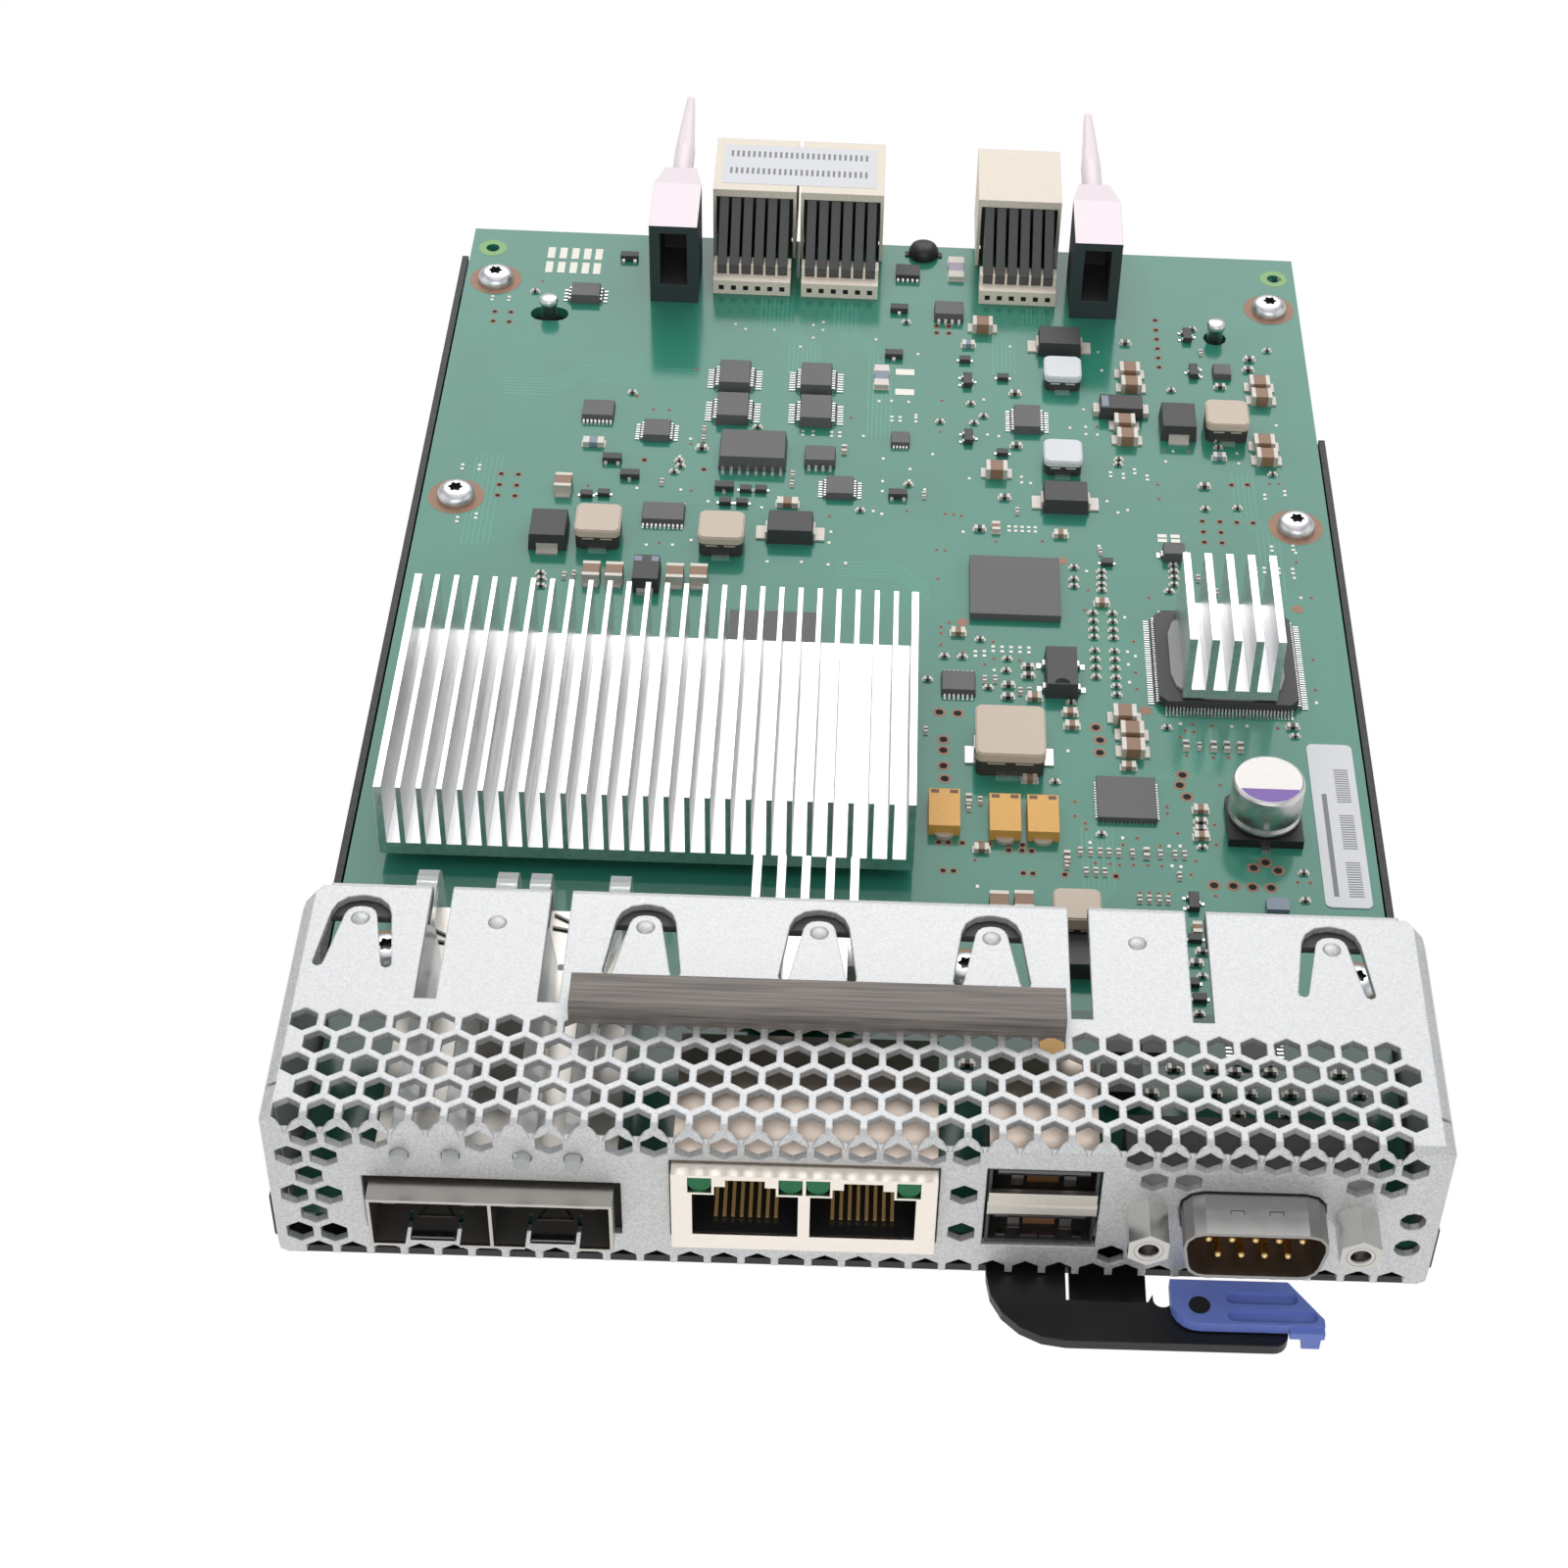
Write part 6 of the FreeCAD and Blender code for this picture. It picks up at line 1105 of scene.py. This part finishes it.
class CARD_OT_dimples(bpy.types.Operator):
    """Pressed dimples on the faceplate's tongues"""
    bl_idname = "card.dimples"
    bl_label = "Tongue dimples"

    def execute(self, context):
        sizes = context.scene.card_sizes
        profile = []
        for k in range(DIMPLE_STEPS + 1):
            rise = 0.5 - 0.5 * math.cos(math.pi * k / DIMPLE_STEPS)
            profile.append((max(0.05, sizes.dimple_radius * (1 - k / DIMPLE_STEPS)),
                            sizes.dimple_height * rise - 0.02))
        shape = Shape(PLATE_TOP)
        for x in DIMPLES:
            shape.lathe(x, DIMPLE_Y, profile, 28)
        piece("tongue_dimples", shape, ["zinc"], slot="zinc_sheet")
        return {"FINISHED"}


# Steps of the can's wall: change of radius and height above its foot, or depth below its top
CAN_FOOT = ((-0.5, 0), (-0.12, 0.25), (0, 0.6), (0, 1.0), (-0.28, 1.25), (-0.28, 1.55), (0, 1.85))
CAN_SHOULDER = ((0, 0.6), (-0.1, 0.28), (-0.32, 0.06), (-0.5, 0))
CAN_STRIPE_START, CAN_STRIPE_TURN = 205, 130
BASE_CORNER = 2


class CARD_OT_can(bpy.types.Operator):
    """Can capacitor with a rolled neck, a coloured segment and its leads"""
    bl_idname = "card.can"
    bl_label = "Can capacitor"

    def execute(self, context):
        low, high = node_box("capacitor_can")
        x, y = (low[0] + high[0]) / 2, (low[1] + high[1]) / 2
        radius = (high[0] - low[0]) / 2
        foot, top = low[2], high[2]
        shape = Shape()
        profile = [(radius + step, foot + rise) for step, rise in CAN_FOOT]
        profile += [(radius + step, top - drop) for step, drop in CAN_SHOULDER]
        shape.lathe(x, y, profile, 56, 0, caps="start")
        shape.disc(x, y, radius - 0.5, top, 56, 1)
        turns = [math.radians(CAN_STRIPE_START + CAN_STRIPE_TURN * k / 24) for k in range(25)]
        face = radius - 0.52
        shape.add([(x + face * math.cos(t), y + face * math.sin(t), top + 0.008) for t in turns],
                  [tuple(range(len(turns)))], 2)
        piece("can_body", shape, ["can", "can_top", "purple"], slot="can_metal",
              replaces=("capacitor_can",))
        low, high = node_box("capacitor_base")
        outline = [(low[0], low[1]), (high[0], low[1]), (high[0], high[1] - BASE_CORNER),
                   (high[0] - BASE_CORNER, high[1]), (low[0] + BASE_CORNER, high[1]),
                   (low[0], high[1] - BASE_CORNER)]
        base = Shape()
        base.sweep(outline, upright(low[2], high[2]))
        piece("can_base", base, ["black"], slot="black_plastic", replaces=("capacitor_base",))
        leads = Shape(BOARD_TOP)
        leads.both_ends(x, y, False, 5.5, 1.6, 1.2, 0, 0.3)
        piece("can_leads", leads, ["solder"], slot="bright_steel")
        return {"FINISHED"}


# Serial port: radius and Y along a pin, then the rows' heights and counts
PIN_PROFILE = ((0.5, -0.4), (0.5, -4.3), (0.44, -4.65), (0.28, -4.9), (0.05, -5.0))
PIN_ROWS = ((1.42, 5), (-1.42, 4))
PIN_PITCH = 2.77
SHELL_TOP = 4.15
SHELL_MARK = (2.3, 0.8, 0.06)


class CARD_OT_serial_port(bpy.types.Operator):
    """Smooth contact pins and the pressed marks on the serial port's shell"""
    bl_idname = "card.serial_port"
    bl_label = "Serial port details"

    def execute(self, context):
        shape = Shape()
        for row, count in PIN_ROWS:
            for k in range(count):
                x = SERIAL_X + (k - (count - 1) / 2) * PIN_PITCH
                shape.lathe(0, 0, PIN_PROFILE, 18, place=along_y(x, SERIAL_Z + row))
        piece("serial_pin_set", shape, ["gold"], slot="contact_gold", replaces=("serial_pins",))
        # Painted shade in the shell's pressed marks.
        marks = Shape()
        top = SERIAL_Z + SHELL_TOP
        shift, half, line = SHELL_MARK
        for side in (-1, 1):
            x = SERIAL_X + side * shift
            marks.box(x - half, x + half, -2.62, -2.5, top - 0.01, top + 0.05)
            for end in (x - half, x + half):
                marks.box(end - line, end + line, -3.1, -2.5, top - 0.01, top + 0.05)
        piece("serial_marks", marks, ["dark_spring"], slot="shield_metal")
        return {"FINISHED"}


# Floors of the two bus sockets, and the module cage's top, floor and ceiling, above the board
USB_FLOORS = (0.4, 8.3)
USB_BAND = (7.4, 9.8)
USB_FRONT_TEETH = ((-4.6, 1.1), (-1.2, 2.0), (1.0, 1.8), (4.6, 1.1))
CAGE_TOP, CAGE_FLOOR, CAGE_CEILING = 8.4, 0.4, 8.0
CAGE_BARS = ((9.2, 1.7), (6.9, 0.6))
BAR_DEPTH = 0.35
NUT_SPACING = 24.99
NUT_FRONT = -5.5
THREAD_RADIUS, THREAD_DEPTH, THREAD_STEP = 1.24, 0.14, 0.25
NUT_MOUTH = ((1.75, -5.62), (1.24, -5.45))


class CARD_OT_port_springs(bpy.types.Operator):
    """Spring tabs and small features inside the ports, and the jack nuts' threads"""
    bl_idname = "card.port_springs"
    bl_label = "Port springs"

    def execute(self, context):
        springs = Shape(BOARD_TOP)
        self.usb_springs(springs)
        self.cage_springs(springs)
        piece("port_springs", springs, ["spring", "dark_spring", "mark_brown"],
              slot="shield_metal")
        threads = Shape()
        profile = [(THREAD_RADIUS - THREAD_DEPTH * (k % 2), NUT_FRONT + THREAD_STEP * k)
                   for k in range(13)]
        for side in (-1, 1):
            place = along_y(SERIAL_X + side * NUT_SPACING / 2, SERIAL_Z)
            threads.lathe(0, 0, profile, 24, 0, place, caps="none")
            # Painted shade in the nut's mouth.
            threads.lathe(0, 0, NUT_MOUTH, 28, 1, place, caps="none")
        piece("nut_threads", threads, ["nickel", "dark_spring"], slot="nickel")
        return {"FINISHED"}

    def usb_springs(self, springs):
        for low in USB_FLOORS:
            for side in (-1, 1):
                x = USB_X + side * 3.1
                springs.box(x - 0.7, x + 0.7, 1.3, 1.5, low + 1.5, low + 3.0, 1)
                springs.box(x - 0.7, x + 0.7, 0.95, 1.5, low + 1.4, low + 1.6, 1)
            springs.box(USB_X - 5.4, USB_X + 5.4, 0.8, 1.1, low + 3.9, low + 4.7, 1)
            # Gold contacts under the tongue: real gold drawn dark brown as painted shade.
            springs.box(USB_X - 1.9, USB_X + 1.9, 2.4, 2.6, low + 0.5, low + 3.0, 2)
        springs.box(USB_X - 6.4, USB_X + 6.4, -0.3, 0.38, *USB_BAND)
        for shift, width in USB_FRONT_TEETH:
            springs.block(USB_X + shift, 1.0, width, 0.5, 0.42, 0.9, 1)

    def cage_springs(self, springs):
        for x, y in CAGE_MARKS:
            springs.disc(x, y, 0.55, CAGE_TOP + 0.01, 16, 1)
            for shift, reach in CAGE_BARS:
                start, end = y + shift, y + shift - reach
                bar = [(x - 1.6, start), (x + 1.3, end), (x + 1.3, end - BAR_DEPTH),
                       (x - 1.6, start - BAR_DEPTH)]
                springs.sweep(bar, upright(CAGE_TOP, CAGE_TOP + 0.3), 1)
        floor, ceiling = CAGE_FLOOR, CAGE_CEILING
        for x in CAGE_PORTS:
            springs.both_ends(x, -2.5, True, 4.6, 1.5, 0.6, ceiling - 0.4, ceiling - 0.02, 1)
            for side in (-1, 1):
                slant = [(x + side * 1.9, 1.2), (x + side * 2.2, 1.2), (x + side * 0.15, 4.9),
                         (x - side * 0.15, 4.9)]
                springs.sweep(slant, upright(floor, floor + 0.1))
            springs.block(x, 1.3, 4.2, 0.25, floor, floor + 0.1)
            springs.block(x, -1.7, 5.0, 0.8, floor - 0.3, floor + 0.35, 1)


# Backplane connectors: contact columns and rows, and half the width of a hole
HOLE_COLUMNS, HOLE_ROWS, HOLE_PITCH = 6, 9, 2.0
FRONT_HOLE, REAR_HOLE = 0.42, 0.4
WAFER_BACK = (206.75, 206.95)
LABEL_CORNER = 0.9
LABEL_BARS = 26
STRIPES, STRIPE_PITCH = 60, 0.46


class CARD_OT_backplane(bpy.types.Operator):
    """Contact holes and the gaps between the wafers in the backplane connectors, drawn as painted
    shade, and the plain labels
    """
    bl_idname = "card.backplane"
    bl_label = "Backplane connector details"

    def execute(self, context):
        low, high = node_box("backplane_housings")
        row_pitch = (high[2] - low[2] - 2.6) / (HOLE_ROWS - 1)
        holes = Shape()
        for link in LINKS:
            columns = [link + (k - 2.5) * HOLE_PITCH for k in range(HOLE_COLUMNS)]
            for x in columns:
                holes.box(x - FRONT_HOLE, x + FRONT_HOLE, LINK_FACE_Y - 0.03, LINK_FACE_Y + 0.2,
                          BOARD_TOP + 0.85, BOARD_TOP + 1.7)
            # Painted shade: a dark sheet behind the wafers fills the gaps between them.
            holes.box(link - 6.2, link + 6.2, *WAFER_BACK, BOARD_TOP + 2.5, BOARD_TOP + 11.5)
            for row in range(HOLE_ROWS):
                z = low[2] + 1.0 + row * row_pitch
                for x in columns:
                    holes.box(x - REAR_HOLE, x + REAR_HOLE, high[1] - 0.3, high[1] + 0.02,
                              z, z + 0.7)
        piece("connector_holes", holes, ["hole"], slot="black_plastic")
        label = Shape()
        left, right = LINKS[0] - 5.6, LINKS[1] + 5.6
        label.box(left, right, low[1] + 2.0, high[1] - 2.0, high[2], high[2] + 0.06)
        for y in (low[1] + 5.0, low[1] + 10.2):
            for k in range(LABEL_BARS):
                x = left + 1.2 + k * 0.9
                label.box(x, x + 0.4, y, y + 1.8, high[2] + 0.055, high[2] + 0.075, 1)
        piece("housing_label", label, ["label", "stripe"], slot="label_white")
        self.board_label()
        return {"FINISHED"}

    def board_label(self):
        low, high = node_box("board_label")
        top = high[2]
        outline = rounded((low[0] + high[0]) / 2, (low[1] + high[1]) / 2, high[0] - low[0],
                          high[1] - low[1], LABEL_CORNER)
        sheet = Shape()
        sheet.sweep(outline, upright(low[2], top))
        piece("label_sheet", sheet, ["label"], slot="label_white", replaces=("board_label",))
        stripes = Shape()
        start = low[1] + 2.0
        for k in range(STRIPES):
            y = start + k * STRIPE_PITCH
            if k % 20 < 15:
                stripes.box(low[0] + 3.4, low[0] + 5.4, y, y + 0.22, top - 0.02, top + 0.01)
        stripes.box(low[0] + 1.3, low[0] + 2.0, start, low[1] + 22.0, top - 0.02, top + 0.01)
        piece("label_stripes", stripes, ["stripe"], slot="label_white")


FLOOR_HALF = 3.0
FLOOR_HEIGHT = -0.0005
# Each light: name, setting, place, aim, width and height
LIGHTS = (
    ("back_panel", "back_light", (0, 0.62, 0.62), (0, 0, 0.02), 0.95, 0.75),
    ("top_panel", "top_light", (0, -0.05, 0.9), (0, 0, 0), 0.8, 0.6),
    ("left_panel", "side_light", (-0.75, -0.1, 0.38), (0, 0, 0), 0.8, 0.5),
    ("right_panel", "side_light", (0.75, -0.1, 0.38), (0, 0, 0), 0.8, 0.5),
    ("front_panel", "front_light", (0, -0.8, 0.45), (0, 0, 0), 0.9, 0.5))
SENSOR_WIDTH = 36
CAMERA_SHIFT = (-0.108176, -0.000226)
CLIP = (0.01, 20)


class CARD_OT_stage(bpy.types.Operator):
    """Set the floor, the lights and the camera"""
    bl_idname = "card.stage"
    bl_label = "Stage"

    def execute(self, context):
        settings = context.scene.card_stage
        self.studio(context)
        self.floor(context)
        for name, power, place, aim, width, height in LIGHTS:
            self.panel(context, name, getattr(settings, power), place, aim, width, height)
        self.camera(context, settings)
        context.scene.view_settings.view_transform = "Standard"
        return {"FINISHED"}

    def studio(self, context):
        world = bpy.data.worlds.new("studio")
        world.use_nodes = True
        context.scene.world = world
        tree = world.node_tree
        background = tree.nodes["Background"]
        socket(background, "Color", (0.55, 0.57, 0.6, 1))
        socket(background, "Strength", 0.55)
        white = add_node(tree, "Background", {"Color": (1, 1, 1, 1), "Strength": 1.0})
        by_ray(tree, ("Is Camera Ray",), background, white, "World Output")

    def floor(self, context):
        mesh = bpy.data.meshes.new("floor")
        size = FLOOR_HALF
        corners = ((-size, -size), (size, -size), (size, size), (-size, size))
        mesh.from_pydata([(x, y, FLOOR_HEIGHT) for x, y in corners], [], [(0, 1, 2, 3)])
        floor = bpy.data.objects.new("floor", mesh)
        context.scene.collection.objects.link(floor)
        item, tree, shader = new_material("floor_white", (0.86, 0.86, 0.86), 0, 0.9, 0.1)
        white = add_node(tree, "Emission", {"Color": (1, 1, 1, 1), "Strength": 1.0})
        by_ray(tree, ("Is Camera Ray", "Is Glossy Ray"), shader, white, "Material Output")
        mesh.materials.append(item)

    def panel(self, context, name, power, place, aim, width, height):
        data = bpy.data.lights.new(name, "AREA")
        data.shape = "RECTANGLE"
        data.size = width
        data.size_y = height
        data.energy = power
        light = bpy.data.objects.new(name, data)
        context.scene.collection.objects.link(light)
        light.location = place
        light.rotation_euler = (Vector(aim) - Vector(place)).to_track_quat("-Z", "Y").to_euler()
        light.visible_camera = False

    def camera(self, context, settings):
        data = bpy.data.cameras.new("camera")
        camera = bpy.data.objects.new("camera", data)
        context.scene.collection.objects.link(camera)
        camera.location = settings.camera_place
        camera.rotation_euler = Euler(settings.camera_turn, "XYZ")
        data.sensor_width = SENSOR_WIDTH
        data.lens = settings.lens
        data.shift_x, data.shift_y = CAMERA_SHIFT
        data.clip_start, data.clip_end = CLIP
        context.scene.camera = camera


class CARD_PT_panel(bpy.types.Panel):
    bl_label = "Ethernet adapter card"
    bl_idname = "CARD_PT_panel"
    bl_space_type = "VIEW_3D"
    bl_region_type = "UI"
    bl_category = "Card"

    def draw(self, context):
        layout = self.layout
        for name, group in GROUPS:
            settings = getattr(context.scene, name)
            for key in group.__annotations__:
                layout.prop(settings, key)
        for operator in OPERATORS:
            layout.operator(operator.bl_idname)


OPERATORS = (CARD_OT_finishes, CARD_OT_chip_parts, CARD_OT_small_bodies, CARD_OT_leads,
             CARD_OT_terminals, CARD_OT_chokes, CARD_OT_pads, CARD_OT_screws, CARD_OT_dimples,
             CARD_OT_can, CARD_OT_serial_port, CARD_OT_port_springs, CARD_OT_backplane,
             CARD_OT_stage)
GROUPS = (("card_colours", CardColours), ("card_sizes", CardSizes), ("card_stage", CardStage))


def register():
    for name, group in GROUPS:
        bpy.utils.register_class(group)
        setattr(bpy.types.Scene, name, PointerProperty(type=group))
    for operator in OPERATORS:
        bpy.utils.register_class(operator)
    bpy.utils.register_class(CARD_PT_panel)


def unregister():
    bpy.utils.unregister_class(CARD_PT_panel)
    for operator in reversed(OPERATORS):
        bpy.utils.unregister_class(operator)
    for name, group in reversed(GROUPS):
        delattr(bpy.types.Scene, name)
        bpy.utils.unregister_class(group)


def main():
    register()
    for operator in OPERATORS:
        area, action = operator.bl_idname.split(".")
        getattr(getattr(bpy.ops, area), action)()


if __name__ == "__main__":
    main()
